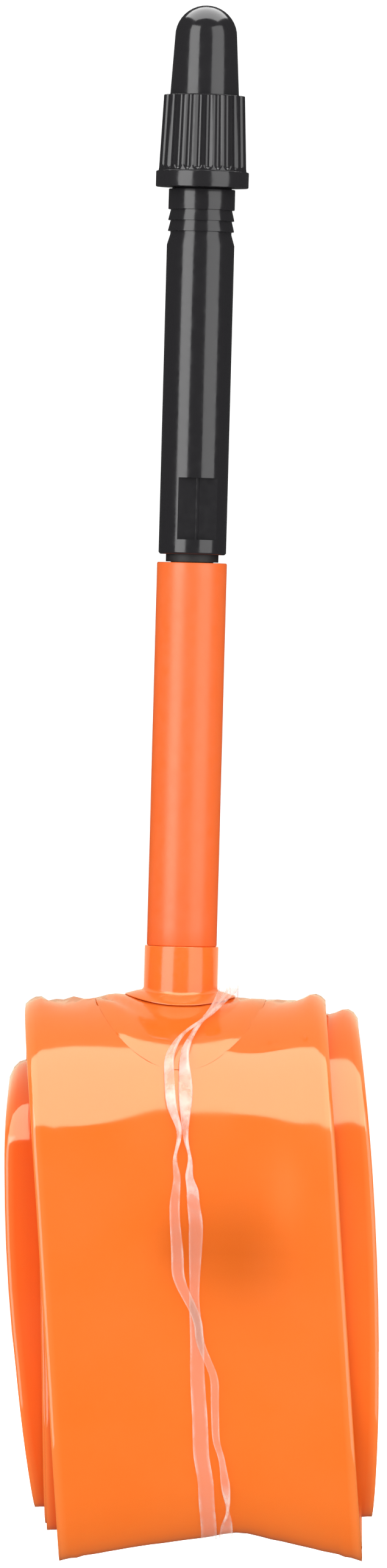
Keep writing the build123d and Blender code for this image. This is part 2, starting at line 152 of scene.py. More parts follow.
down = math.radians(VIEW_DOWN)
back = Vector((0, -math.cos(down), math.sin(down)))
camera_data = bpy.data.cameras.new("camera")
camera_data.sensor_width = 36
camera_data.lens = camera_data.sensor_width * VIEW_DISTANCE / VIEW_HEIGHT
camera_data.clip_start, camera_data.clip_end = 0.05, 20
camera = bpy.data.objects.new("camera", camera_data)
camera.location = (VIEW_CENTRE + back * VIEW_DISTANCE) * MM
camera.rotation_mode = "QUATERNION"
level = (-back).to_track_quat("-Z", "Y")
camera.rotation_quaternion = level @ Matrix.Rotation(math.radians(VIEW_ROLL), 3, "Z").to_quaternion()
bpy.context.scene.collection.objects.link(camera)
bpy.context.scene.camera = camera
print("lens", round(camera_data.lens, 1), "mm at", VIEW_DISTANCE, "mm")

# %% [markdown]
# ## Colour and material helpers
# Colours are written as sRGB hex, as a paint card would give them, and one function turns them into
# the linear values that shaders need. One more function adds a node with its settings and its links,
# so that each material reads as a short list of what its surface does.

# %% Material helpers
def linear(code):
    """An sRGB hex colour as linear red, green, blue and 1."""
    parts = [int(code[i:i + 2], 16) / 255 for i in (0, 2, 4)]
    return tuple(c / 12.92 if c <= 0.04045 else ((c + 0.055) / 1.055) ** 2.4 for c in parts) + (1.0,)


def add(tree, kind, settings=None, links=None):
    """Add a node, set its values, and link {its input: (node, output)}."""
    node = tree.nodes.new(kind)
    for name, value in (settings or {}).items():
        if isinstance(name, int) or name in node.inputs:
            node.inputs[name].default_value = value
        else:
            setattr(node, name, value)
    for name, (source, output) in (links or {}).items():
        tree.links.new(source.outputs[output], node.inputs[name])
    return node


def new_material(name, **settings):
    """A material with its shader already set up: (material, tree, shader)."""
    material = bpy.data.materials.new(name)
    material.use_nodes = True
    tree = material.node_tree
    shader = tree.nodes["Principled BSDF"]
    for key, value in settings.items():
        shader.inputs[key.replace("_", " ").title().replace("Ior", "IOR")].default_value = value
    return material, tree, shader


def colour_between(tree, share, low, high):
    """A colour that goes from low to high as a node's value goes from 0 to 1."""
    mix = add(tree, "ShaderNodeMix", {"data_type": "RGBA"})
    mix.inputs[6].default_value, mix.inputs[7].default_value = linear(low), linear(high)
    tree.links.new(share[0].outputs[share[1]], mix.inputs[0])
    return mix, 2


def value_between(tree, share, low, high, start=0.0, end=1.0):
    """A number that goes from low to high as a node's value goes from start to end."""
    settings = {"From Min": start, "From Max": end, "To Min": low, "To Max": high}
    return add(tree, "ShaderNodeMapRange", settings, {"Value": share}), "Result"


# %% [markdown]
# ## Finishes
# The tube is blown thermoplastic polyurethane film: glossy, a little cloudy, with faint lines along
# its length where the die dragged it. Light and shade are painted into its colour: turns further in
# get painted shade and look redder, the folded edges get a painted pale glow, and the front gets
# painted shade where the roll is hollow behind it. The colour follows three values stored on the mesh.

# %% Orange film
DIE_LINES = 0.45      # mm from one drawn line to the next
CLOUD = 9.0           # mm across a slightly deeper patch of colour


def orange_film():
    material, tree, shader = new_material(
        "blown_tpu_film", ior=1.5, subsurface_weight=0.12, subsurface_scale=0.001)
    shader.inputs["Subsurface Radius"].default_value = (1.0, 0.35, 0.12)
    place = add(tree, "ShaderNodeTexCoord")
    cloud = add(tree, "ShaderNodeTexNoise", {"Scale": 1 / (CLOUD * MM), "Detail": 3.0},
                {"Vector": (place, "Object")})
    front = colour_between(tree, (cloud, "Fac"), "FA7426", "FC7C2C")
    # Painted shade: turns further in, and the inner strand, are made redder and darker.
    turn_shade_value = add(tree, "ShaderNodeAttribute", {"attribute_name": "painted_turn_shade"})
    inner = add(tree, "ShaderNodeMix", {"data_type": "RGBA"})
    inner.inputs[7].default_value = linear("FA661F")
    tree.links.new(turn_shade_value.outputs["Fac"], inner.inputs[0])
    tree.links.new(front[0].outputs[front[1]], inner.inputs[6])
    # Painted light: a pale glow along the folded edges and over a raised fold on the front.
    edge = add(tree, "ShaderNodeAttribute", {"attribute_name": "painted_edge_light"})
    edge_light_mix = add(tree, "ShaderNodeMix", {"data_type": "RGBA"})
    edge_light_mix.inputs[7].default_value = linear("FF8C46")
    tree.links.new(edge.outputs["Fac"], edge_light_mix.inputs[0])
    # Painted shade: the front is made deeper in colour where the roll is hollow behind it.
    back_shade = add(tree, "ShaderNodeAttribute", {"attribute_name": "painted_back_shade"})
    deep = add(tree, "ShaderNodeMix", {"data_type": "RGBA"})
    deep.inputs[7].default_value = linear("D2601A")
    tree.links.new(back_shade.outputs["Fac"], deep.inputs[0])
    tree.links.new(inner.outputs[2], deep.inputs[6])
    tree.links.new(deep.outputs[2], edge_light_mix.inputs[6])
    tree.links.new(edge_light_mix.outputs[2], shader.inputs["Base Color"])
    lay = add(tree, "ShaderNodeUVMap", {"uv_map": "along_tube"})
    drawn = add(tree, "ShaderNodeMapping", {"Scale": (1 / DIE_LINES, 0.02 / DIE_LINES, 1.0)},
                {"Vector": (lay, "UV")})
    lines = add(tree, "ShaderNodeTexNoise", {"Scale": 1.0, "Detail": 2.0}, {"Vector": (drawn, "Vector")})
    relief = add(tree, "ShaderNodeBump", {"Strength": 0.35, "Distance": 0.00002}, {"Height": (lines, "Fac")})
    tree.links.new(relief.outputs["Normal"], shader.inputs["Normal"])
    gloss = value_between(tree, (cloud, "Fac"), 0.07, 0.15, 0.3, 0.7)
    tree.links.new(gloss[0].outputs[gloss[1]], shader.inputs["Roughness"])
    return material


# %% [markdown]
# The patch, the foot and the soft stem are the same plastic, made in other ways. The patch is welded
# on hot under a smooth plate, so it shines nearly as the film does. The foot comes from a smooth mould
# and is a little duller. The stem is extruded, and its shine is the softest of the three.

# %% Orange patch, foot and stem
def orange_moulded(name, low, high, roughness, grain, depth):
    """Orange plastic with a mottled colour and a grain of that many mm."""
    material, tree, shader = new_material(
        name, roughness=roughness, ior=1.5, subsurface_weight=0.12, subsurface_scale=0.001)
    shader.inputs["Subsurface Radius"].default_value = (1.0, 0.35, 0.12)
    place = add(tree, "ShaderNodeTexCoord")
    cloud = add(tree, "ShaderNodeTexNoise", {"Scale": 1 / (6 * MM), "Detail": 2.0},
                {"Vector": (place, "Object")})
    colour = colour_between(tree, (cloud, "Fac"), low, high)
    tree.links.new(colour[0].outputs[colour[1]], shader.inputs["Base Color"])
    fine = add(tree, "ShaderNodeTexNoise", {"Scale": 1 / (grain * MM), "Detail": 3.0},
               {"Vector": (place, "Object")})
    relief = add(tree, "ShaderNodeBump", {"Strength": 0.4, "Distance": depth * MM}, {"Height": (fine, "Fac")})
    tree.links.new(relief.outputs["Normal"], shader.inputs["Normal"])
    gloss = value_between(tree, (fine, "Fac"), roughness - 0.05, roughness + 0.07, 0.3, 0.7)
    tree.links.new(gloss[0].outputs[gloss[1]], shader.inputs["Roughness"])
    return material


# %% [markdown]
# The black parts are injection-moulded nylon. The mould is polished, so they shine softly, with a
# faint orange-peel that breaks up the edges of each reflection. The sealing rings are matt rubber,
# and the valve core is turned brass with fine rings left by the tool.

# %% Black plastic, rubber and brass
def moulded_black(name, colour, roughness, peel):
    """Black moulded plastic whose orange-peel is that many mm across."""
    material, tree, shader = new_material(name, base_color=linear(colour), roughness=roughness, ior=1.5)
    place = add(tree, "ShaderNodeTexCoord")
    waves = add(tree, "ShaderNodeTexNoise", {"Scale": 1 / (peel * MM), "Detail": 2.0},
                {"Vector": (place, "Object")})
    relief = add(tree, "ShaderNodeBump", {"Strength": 0.25, "Distance": 0.00002}, {"Height": (waves, "Fac")})
    tree.links.new(relief.outputs["Normal"], shader.inputs["Normal"])
    gloss = value_between(tree, (waves, "Fac"), roughness - 0.04, roughness + 0.05, 0.3, 0.7)
    tree.links.new(gloss[0].outputs[gloss[1]], shader.inputs["Roughness"])
    return material


def seal_rubber():
    material, tree, shader = new_material("moulded_rubber", roughness=0.6, ior=1.5)
    place = add(tree, "ShaderNodeTexCoord")
    dust = add(tree, "ShaderNodeTexNoise", {"Scale": 1 / (0.4 * MM), "Detail": 4.0},
               {"Vector": (place, "Object")})
    colour = colour_between(tree, (dust, "Fac"), "161616", "2A2A2B")
    tree.links.new(colour[0].outputs[colour[1]], shader.inputs["Base Color"])
    return material


def turned_brass():
    material, tree, shader = new_material("turned_brass", metallic=1.0, roughness=0.28)
    place = add(tree, "ShaderNodeTexCoord")
    rings = add(tree, "ShaderNodeTexWave",
                {"bands_direction": "Z", "Scale": 1 / (0.12 * MM), "Distortion": 0.4},
                {"Vector": (place, "Object")})
    stain = add(tree, "ShaderNodeTexNoise", {"Scale": 1 / (1.5 * MM)}, {"Vector": (place, "Object")})
    colour = colour_between(tree, (stain, "Fac"), "C9A45C", "E2C27E")
    tree.links.new(colour[0].outputs[colour[1]], shader.inputs["Base Color"])
    relief = add(tree, "ShaderNodeBump", {"Strength": 0.2, "Distance": 0.00001}, {"Height": (rings, "Fac")})
    tree.links.new(relief.outputs["Normal"], shader.inputs["Normal"])
    return material


# %% [markdown]
# The band is clear polyurethane elastic. It lets most light through and looks faintly milky where it
# lies flat, because its surface is drawn and a little rough. It is given a see-through share that
# varies along it, rather than true refraction, so that the orange below keeps its brightness. Its
# shine along its edges, where it twists and at two places down the front is a painted highlight:
# the see-through share is lowered there, so its pale colour shows more.

# %% Clear elastic
def clear_elastic():
    material, tree, shader = new_material("clear_elastic_tpu", roughness=0.14, ior=1.5)
    place = add(tree, "ShaderNodeTexCoord")
    milk = add(tree, "ShaderNodeTexNoise", {"Scale": 1 / (1.6 * MM), "Detail": 3.0},
               {"Vector": (place, "Object")})
    colour = colour_between(tree, (milk, "Fac"), "FFE2D2", "FFF6F0")
    tree.links.new(colour[0].outputs[colour[1]], shader.inputs["Base Color"])
    # Painted highlight: less see-through at the band's edges, its twists and two painted sheens.
    band_light_node = add(tree, "ShaderNodeAttribute", {"attribute_name": "painted_band_light"})
    streaky = value_between(tree, (milk, "Fac"), 0.25, 1.5, 0.38, 0.62)
    seen = add(tree, "ShaderNodeMath", {"operation": "MULTIPLY"}, {0: (band_light_node, "Fac"), 1: streaky})
    cover = value_between(tree, (seen, "Value"), 0.10, 0.60, 0.0, 0.9)
    tree.links.new(cover[0].outputs[cover[1]], shader.inputs["Alpha"])
    relief = add(tree, "ShaderNodeBump", {"Strength": 0.4, "Distance": 0.00006}, {"Height": (milk, "Fac")})
    tree.links.new(relief.outputs["Normal"], shader.inputs["Normal"])
    return material


FILM_FINISH = orange_film()
PATCH_FINISH = orange_moulded("pressed_tpu_patch", "FA7426", "FC7C2C", 0.12, 0.9, 0.004)
FOOT_FINISH = orange_moulded("moulded_tpu_foot", "FA7426", "FC7C2C", 0.16, 0.4, 0.003)
STEM_FINISH = orange_moulded("extruded_tpu_stem", "FA6A20", "FC7024", 0.36, 0.8, 0.004)
NYLON_FINISH = moulded_black("polished_nylon", "262527", 0.16, 0.7)
CAP_FINISH = moulded_black("polished_cap_plastic", "282729", 0.15, 0.9)
BUSH_FINISH = moulded_black("plain_nylon_bush", "2A292A", 0.42, 0.4)
RUBBER_FINISH = seal_rubber()
BRASS_FINISH = turned_brass()
BAND_FINISH = clear_elastic()
print(len(bpy.data.materials), "materials")

# %% [markdown]
# ## Turned pieces
# The cap, the black upper stem, the soft stem and its foot are all round, so each starts as the
# outline of its section: a circle whose points are moved to the section's corners. The sharp ones are
# bevelled, as a mould's are, and the outline is spun about the valve's axis. A spin keeps the wall
# and the hollow inside it in one closed skin, where stacked cylinders would cross each other.

# %% Outlines and spinning
CORNER_TURN = 24.0    # degrees: an outline corner sharper than this is rounded


def corner_turn(vertex):
    """How far the outline turns at a point, in degrees."""
    one, other = (edge.other_vert(vertex).co - vertex.co for edge in vertex.link_edges)
    return 180 - math.degrees(one.angle(other))


def lathe(outline, steps, corner):
    """Spin a closed outline of (radius, height) points about the valve's axis."""
    start_clean()
    bpy.ops.mesh.primitive_circle_add(vertices=len(outline), radius=1)
    piece = bpy.context.object
    for vertex, (radius, height) in zip(piece.data.vertices, outline):
        vertex.co = (radius, 0, height)
    open_piece(piece)
    pick(piece, "verts", lambda v: v.co.x > 0 and corner_turn(v) > CORNER_TURN)
    bpy.ops.mesh.bevel(affect="VERTICES", offset=corner, segments=2, offset_type="OFFSET")
    bpy.ops.mesh.select_all(action="SELECT")
    bpy.ops.mesh.spin(steps=steps, angle=2 * math.pi, center=(0, 0, 0), axis=(0, 0, 1))
    bpy.ops.mesh.select_all(action="SELECT")
    bpy.ops.mesh.remove_doubles(threshold=0.0005)
    bpy.ops.mesh.delete_loose(use_verts=True, use_edges=True, use_faces=False)
    bpy.ops.mesh.select_all(action="SELECT")
    bpy.ops.mesh.normals_make_consistent(inside=False)
    close_piece()
    return piece


def rise(low, high, step):
    """Heights from low up to high, at most a step apart, without the two ends."""
    count = max(1, round((high - low) / step))
    return [low + (high - low) * i / count for i in range(1, count)]


# %% [markdown]
# ## Screw cap
# The real cap is one black moulding: a flange to pull on, a tapered collar with flutes for the
# fingers, and a plain domed tip. The flutes could be cut with 26 cutters, but their round lower ends
# would then be hard to shape. Here the spun collar has enough points for each flute, and they are
# pushed in to the depth of a small round cutter that stops short of the flange.

# %% Screw cap
FLANGE_HEIGHT, KNURL_HEIGHT, TIP_HEIGHT = 1.4, 6.65, 5.15
FLANGE_STEP, KNURL_TAPER, KNURL_STEP, TIP_TAPER = 0.22, 0.28, 0.55, 0.30
FLUTES, FLUTE_RADIUS, FLUTE_DEPTH, FLUTE_STOP = 26, 0.38, 0.19, 0.46
POINTS_PER_FLUTE = 10
CAP_THREAD_RADIUS, CAP_BORE_RADIUS, CAP_TOP_WALL = 2.65, 2.15, 1.3
SHELF_HEIGHT, BORE_HEIGHT = 4.2, 9.75        # of the hollow's two steps, above the cap's foot

cap_low, cap_high = box_mm("valve_cap")
knurl_foot = cap_low.z + FLANGE_HEIGHT
knurl_top = knurl_foot + KNURL_HEIGHT
dome_foot = knurl_top + TIP_HEIGHT
knurl_foot_radius = cap_high.x - FLANGE_STEP
knurl_top_radius = knurl_foot_radius - KNURL_TAPER
tip_foot_radius = knurl_top_radius - KNURL_STEP
tip_radius = tip_foot_radius - TIP_TAPER


def knurl_radius(height):
    share = (height - knurl_foot) / KNURL_HEIGHT
    return knurl_foot_radius + (knurl_top_radius - knurl_foot_radius) * share


def cap_outline():
    heights = rise(knurl_foot, knurl_foot + 1.0, 0.08) + rise(knurl_foot + 1.0, knurl_top, 0.5)
    dome = [math.radians(a) for a in range(0, 90, 9)]
    points = [(CAP_THREAD_RADIUS, cap_low.z), (cap_high.x, cap_low.z), (cap_high.x, knurl_foot),
              (knurl_foot_radius, knurl_foot)]
    points += [(knurl_radius(z), z) for z in heights]
    points += [(knurl_top_radius, knurl_top), (tip_foot_radius, knurl_top)]
    points += [(tip_radius * math.cos(a), dome_foot + tip_radius * math.sin(a)) for a in dome]
    ceiling = cap_high.z - CAP_TOP_WALL
    points += [(0, cap_high.z), (0, ceiling), (CAP_BORE_RADIUS / 2, ceiling)]
    points += [(CAP_BORE_RADIUS, cap_low.z + BORE_HEIGHT), (CAP_BORE_RADIUS, cap_low.z + SHELF_HEIGHT)]
    return points + [(CAP_THREAD_RADIUS, cap_low.z + SHELF_HEIGHT)]


def flute_cut(angle, height, radius):
    """How deep the nearest flute's round cutter goes at a point of the collar."""
    pitch = 2 * math.pi / FLUTES
    aside = (angle / pitch - round(angle / pitch)) * pitch * radius
    past_end = max(0.0, knurl_foot + FLUTE_STOP - height)
    away = math.hypot(aside, past_end)
    if away >= FLUTE_RADIUS:
        return 0.0
    return max(0.0, math.sqrt(FLUTE_RADIUS ** 2 - away ** 2) - (FLUTE_RADIUS - FLUTE_DEPTH))


screw_cap = lathe(cap_outline(), FLUTES * POINTS_PER_FLUTE, 0.09)
for vertex in screw_cap.data.vertices:
    x, y, z = vertex.co
    radius = math.hypot(x, y)
    outside = radius > knurl_radius(z) - 0.12 and radius > tip_foot_radius + 0.1
    if outside and knurl_foot + 0.02 < z <= knurl_top + 0.001:
        kept = 1 - flute_cut(math.atan2(y, x), z, radius) / radius
        vertex.co = (x * kept, y * kept, z)
shade(screw_cap, 38)
finish_piece(screw_cap, "screw_cap", CAP_FINISH, "cap", "black_cap_plastic", "valve_cap")

# %% [markdown]
# ## Black upper stem
# This is the rigid part that the pump grips. It has a screwed spigot below, a plain barrel with two
# wrench flats, a shoulder, two saw-tooth ribs and a grip ring, and the cap's thread above. It is spun
# from one outline. The threads are then a helix of small moves of its points, and the flats are cut
# by two round-cornered blocks, because a flat with closed ends can't be spun.

# %% Upper stem: outline and threads
BODY_RADIUS, NECK_RADIUS, SPIGOT_RADIUS, AIR_BORE = 2.95, 2.0, 1.85, 1.2
CHAMBER_RADIUS, THREAD_RADIUS, THREAD_LENGTH = 1.9, 2.6, 4.2
RING_HEIGHT, RIB_PITCH, RIB_DEPTH, CREST_DROP = 1.8, 0.95, 0.28, 0.05
ROOT_LAND, SHOULDER_HEIGHT, NECK_HEIGHT, SPIGOT_LENGTH = 0.25, 0.95, 0.65, 6.05
CHAMBER_DEPTH = 15.0
THREAD_PITCH, THREAD_DEPTH = 0.8, 0.26
BARREL_CHAMFER = 0.15
STEM_STEPS = 96         # round each of the stem's plain pieces

body_low, body_high = box_mm("valve_body")
thread_foot = body_high.z - THREAD_LENGTH
ring_foot = thread_foot - RING_HEIGHT
neck_foot = body_low.z + SPIGOT_LENGTH
barrel_foot = neck_foot + NECK_HEIGHT
rib_foot = ring_foot - 2 * RIB_PITCH


def body_outline():
    root, crest = BODY_RADIUS - RIB_DEPTH, BODY_RADIUS - CREST_DROP
    land = rib_foot - ROOT_LAND
    points = [(AIR_BORE, body_low.z)]
    points += [(SPIGOT_RADIUS, z) for z in [body_low.z] + rise(body_low.z, neck_foot, 0.1) + [neck_foot]]
    points += [(NECK_RADIUS, neck_foot), (NECK_RADIUS, barrel_foot)]
    points += [(BODY_RADIUS - BARREL_CHAMFER, barrel_foot), (BODY_RADIUS, barrel_foot + BARREL_CHAMFER)]
    points += [(BODY_RADIUS, land - SHOULDER_HEIGHT), (root, land)]
    for height in (rib_foot, rib_foot + RIB_PITCH):
        points += [(root, height), (crest, height)]
    points += [(root, ring_foot), (crest, ring_foot), (crest, thread_foot), (THREAD_RADIUS, thread_foot)]
    points += [(THREAD_RADIUS, z) for z in rise(thread_foot, body_high.z, 0.1) + [body_high.z]]
    points += [(CHAMBER_RADIUS, body_high.z), (CHAMBER_RADIUS, body_high.z - CHAMBER_DEPTH)]
    return points + [(AIR_BORE, body_high.z - CHAMBER_DEPTH)]


def cut_thread(piece, radius, low, high):
    """Press a helical groove into the plain cylinder of that radius."""
    for vertex in piece.data.vertices:
        x, y, z = vertex.co
        if abs(math.hypot(x, y) - radius) < 0.02 and low < z < high:
            turn = z / THREAD_PITCH - math.atan2(y, x) / (2 * math.pi)
            groove = abs(2 * (turn - math.floor(turn)) - 1)
            ends = smooth(low, low + THREAD_PITCH, z) * (1 - smooth(high - THREAD_PITCH / 2, high, z))
            kept = 1 - THREAD_DEPTH * groove * ends / radius
            vertex.co = (x * kept, y * kept, z)


upper_stem = lathe(body_outline(), STEM_STEPS, 0.05)
cut_thread(upper_stem, SPIGOT_RADIUS, body_low.z, neck_foot)
cut_thread(upper_stem, THREAD_RADIUS, thread_foot, body_high.z)
print("upper stem", round(body_high.z - body_low.z, 2), "mm long")

# %% [markdown]
# Each cutter is a block whose four edges across the flat are bevelled into round corners. The middle
# of its inner face is pulled back a little, which leaves the fine raised line that the real flat has
# down its middle.

# %% Upper stem: wrench flats
FLAT_DEPTH, FLAT_START, FLAT_HEIGHT, FLAT_TURN = 0.55, 1.3, 5.4, 8.0
FLAT_CORNER, WITNESS_WIDTH, WITNESS_HEIGHT = 0.22, 0.22, 0.07
BLOCK = 2.0           # half the cutter's width
WITNESS_SLOPE = 0.04  # half the width of the slope at each edge of the raised line


def flat_cutter(turn):
    middle = barrel_foot + FLAT_START + FLAT_HEIGHT / 2
    face = -(BODY_RADIUS - FLAT_DEPTH)
    start_clean()
    bpy.ops.mesh.primitive_cube_add(size=1, location=(0, face - 0.5, middle))
    cutter = bpy.context.object
    open_piece(cutter, "EDGE")
    bpy.ops.transform.resize(value=(2 * BLOCK, 1, FLAT_HEIGHT))
    pick(cutter, "edges", lambda e: abs(e.verts[0].co.y - e.verts[1].co.y) > 0.5)
    bpy.ops.mesh.bevel(offset=FLAT_CORNER, segments=4, affect="EDGES")
    for aside in (-WITNESS_WIDTH / 2, WITNESS_WIDTH / 2):
        for edge in (-WITNESS_SLOPE, WITNESS_SLOPE):
            bpy.ops.mesh.select_all(action="SELECT")
            bpy.ops.mesh.bisect(plane_co=(aside + edge, 0, 0), plane_no=(1, 0, 0))
    inner = max(vertex.co.y for vertex in bmesh.from_edit_mesh(cutter.data).verts)
    pick(cutter, "verts", lambda v: v.co.y > inner - 0.01 and abs(v.co.x) < WITNESS_WIDTH / 2)
    bpy.ops.transform.translate(value=(0, -WITNESS_HEIGHT, 0))
    close_piece()
    start_clean()
    cutter.select_set(True)
    bpy.context.view_layer.objects.active = cutter
    bpy.ops.object.transform_apply()
    cutter.data.transform(Matrix.Rotation(math.radians(turn), 4, "Z"))
    return cutter


for turn in (FLAT_TURN, 180 + FLAT_TURN):
    cutter = flat_cutter(turn)
    apply_modifier(upper_stem, "BOOLEAN", object=cutter, operation="DIFFERENCE", solver="EXACT")
    bpy.data.objects.remove(cutter)
shade(upper_stem, 32)
finish_piece(upper_stem, "upper_stem", NYLON_FINISH, "valve", "black_nylon", "valve_body")

# %% [markdown]
# ## Soft stem and foot
# The orange stem is extruded, cut off square and bonded into the foot's collar. The foot is moulded,
# with a thin rim that hugs the top of the roll. The rim is spun flat and its points are then let
# down onto the roll's curve, which is how the soft rim really lies.

# %% Soft stem
STEM_BORE, SOCKET_RADIUS, BUSH_RADIUS, BUSH_LENGTH, SOCKET_DEPTH = 1.5, 2.5, 2.4, 6.8, 2.9
STEM_SWELL = 0.004      # share of the radius by which the extruded stem is uneven
stem_low, stem_high = box_mm("stem_tube")
collar_top = stem_low.z + SOCKET_DEPTH
stem_radius = stem_high.x


def stem_outline():
    heights = rise(collar_top, stem_high.z, 1.5)
    points = [(STEM_BORE, stem_low.z), (SOCKET_RADIUS, stem_low.z), (SOCKET_RADIUS, collar_top)]
    points += [(stem_radius, z) for z in [collar_top] + heights + [stem_high.z]]
    bush_foot = stem_high.z - BUSH_LENGTH
    return points + [(BUSH_RADIUS, stem_high.z), (BUSH_RADIUS, bush_foot), (STEM_BORE, bush_foot)]


soft_stem = lathe(stem_outline(), STEM_STEPS, 0.12)
for vertex in soft_stem.data.vertices:
    x, y, z = vertex.co
    if math.hypot(x, y) > stem_radius - 0.2 and collar_top + 1 < z < stem_high.z - 0.5:
        swell = 1 + STEM_SWELL * noise.noise(Vector((x * 0.3, y * 0.3, z * 0.12)))
        vertex.co = (x * swell, y * swell, z)
shade(soft_stem, 40)
finish_piece(soft_stem, "soft_stem", STEM_FINISH, "tube", "orange_tpu_stem", "stem_tube")

# %% [markdown]
# The foot's rim runs out to a thin edge, so that the valve seems to grow out of the film, and its
# collar meets the rim in a small fillet. The outline is lathed flat like the others. Its lower part is
# then let down onto the roll's curve by moving the points, which keeps the rim's thickness.

# %% Moulded foot
RIM_THICK, RIM_WIDTH, RIM_FILLET, PATCH_THICK = 0.4, 1.6, 0.32, 0.25
SADDLE_REACH = 0.9      # height over which the foot goes from the roll's curve to level
foot_high = box_mm("stem_foot")[1]
tube_low, tube_high = box_mm("tube_ring")
rim_radius = foot_high.x
collar_radius = rim_radius - RIM_WIDTH
skin_radius = -tube_low.y
top_centre = tube_high.z - skin_radius


def foot_outline():
    fillet = [math.radians(a) for a in range(270, 179, -18)]
    centre = (collar_radius + RIM_FILLET, RIM_FILLET)
    points = [(STEM_BORE, -RIM_THICK)] + [(STEM_BORE + r, -RIM_THICK) for r in rise(0, rim_radius - 1.5, 0.4)]
    points += [(rim_radius, -RIM_THICK), (rim_radius, -RIM_THICK + 0.06), (rim_radius - 0.5, -0.2)]
    points += [(rim_radius - 1.0, -0.05)]
    points += [(centre[0] + RIM_FILLET * math.cos(a), centre[1] + RIM_FILLET * math.sin(a)) for a in fillet]
    points += [(collar_radius, foot_high.z), (SOCKET_RADIUS, foot_high.z), (SOCKET_RADIUS, stem_low.z)]
    return points + [(STEM_BORE, stem_low.z)]


moulded_foot = lathe(foot_outline(), STEM_STEPS, 0.07)
saddle = skin_radius - tube_high.z
for vertex in moulded_foot.data.vertices:
    drop = saddle - math.sqrt(saddle ** 2 - vertex.co.y ** 2)
    vertex.co.z -= drop * (1 - smooth(0.0, SADDLE_REACH, vertex.co.z))
shade(moulded_foot, 40)
finish_piece(moulded_foot, "moulded_foot", FOOT_FINISH, "tube", "orange_tpu_foot", "stem_foot")

# %% [markdown]
# ## The rolled tube
# The tube is one closed ring. Pressed flat it is a strip 26 mm wide, and doubled over it makes two
# strands, which are wound together 12 times. A sheet with a thickness could be rolled up by a
# modifier, but the fold at each end and the loop's two strands would be lost. So a flat, round-edged
# section is drawn once and taken along the whole winding, by a spin at each end of the roll and an
# extrude down each side, round the inner fold, and all the way back to where it began.

# %% Winding sizes
STRAND, STRAND_STEP, PITCH, TURNS = 0.5, 0.6, 1.2, 12
FLAT_WIDTH, CORE_RADIUS, SLACK, TAIL, CORE_LEG = 26.2, 0.9, 2.9, 12.0, 17.0
TOP_SLIP = [-0.4, 2.4, 0.6, -1.6, -0.4, 0.5, 0.0, 0.6, 0.2, 0.5, 0.3, 0.4]
BOTTOM_SLIP = [4.0, 4.9, 2.6, 1.8, 2.4, 1.7, 2.3, 1.9, 2.2, 2.0, 2.1, 2.0]
EDGE_POINTS, SIDE_CUTS = 8, 15
ARC_STEPS, FOLD_STEPS, INNER_CUTS, TAIL_CUTS = 20, 6, 5, 8

arc_radii = [CORE_RADIUS + PITCH * (TURNS - 1 - turn) for turn in range(TURNS)]
bottom_shift = -PITCH / 2
loose_centre = tube_low.z + skin_radius - PITCH / 2
tight_centre = loose_centre + SLACK
print("roll", round(tube_high.z - tube_low.z, 2), "mm high,", TURNS, "turns")


# %% [markdown]
# The section starts as a circle of 8 points, whose two halves are slid apart. That gives a flat shape
# with round edges, which stand for the two folds of the pressed tube.

# %% Flat section
def flat_section():
    """The pressed tube's section, lying across the start of the outer strand's tail."""
    start_clean()
    bpy.ops.mesh.primitive_circle_add(vertices=EDGE_POINTS, radius=STRAND / 2)
    piece = bpy.context.object
    for side in (-1, 1):
        open_piece(piece)
        pick(piece, "verts", lambda v: v.co.x * side > 0.01)
        bpy.ops.transform.translate(value=(side * (FLAT_WIDTH - STRAND) / 2, 0, 0))
    bpy.ops.mesh.select_all(action="SELECT")
    bpy.ops.transform.translate(value=(0, arc_radii[0] + STRAND_STEP / 2, top_centre - TAIL))
    return piece


# %% [markdown]
# While it is wound, each new section is written down: which strand it is on, which half turn, and
# which way is outwards there. The film is shaped later from those notes.

# %% Wind the strip
stations = []          # one (strand, half turn, outward angle in degrees) for each section


def spin_round(y, z, start, turn, strand, turn_number, top):
    """Take the section round an end of the roll, from one outward angle to another."""
    way = -1 if turn > 0 else 1
    sweep = math.radians(abs(turn))
    bpy.ops.mesh.spin(steps=ARC_STEPS, angle=sweep, center=(0, y, z), axis=(way, 0, 0))
    for step in range(1, ARC_STEPS + 1):
        angle = start + turn * step / ARC_STEPS
        past = angle > 90 if top else angle > 270
        half = 2 * turn_number + (1 if past else 0) if top else 2 * turn_number + (2 if past else 1)
        stations.append((strand, half, angle))


def run_leg(length, cuts, strand, half, angle):
    """Take the section straight up or down a side of the roll."""
    for _ in range(cuts):
        move = {"value": (0, 0, length / cuts)}
        bpy.ops.mesh.extrude_edges_move(TRANSFORM_OT_translate=move)
        stations.append((strand, half, angle))


def leg_cuts(turn):
    """Sections down a straight side: more where the outermost turn shows its whole face."""
    return 12 if turn == 0 else INNER_CUTS


def wind_strand(strand, inwards):
    """Wind one strand from the tail to the core, or back out again."""
    order = range(TURNS) if inwards else range(TURNS - 1, -1, -1)
    for turn in order:
        centre = tight_centre if turn else loose_centre
        drop = top_centre - centre
        if inwards:
            spin_round(0, top_centre, 0, 180, strand, turn, True)
            if turn < TURNS - 1:
                run_leg(-drop, leg_cuts(turn), strand, 2 * turn + 1, 180)
                spin_round(bottom_shift, centre, 180, 180, strand, turn, False)
                run_leg(drop, leg_cuts(turn), strand, 2 * turn + 2, 360)
        else:
            if turn < TURNS - 1:
                run_leg(-drop, leg_cuts(turn), strand, 2 * turn + 2, 360)
                spin_round(bottom_shift, centre, 360, -180, strand, turn, False)
                run_leg(drop, leg_cuts(turn), strand, 2 * turn + 1, 180)
            spin_round(0, top_centre, 180, -180, strand, turn, True)


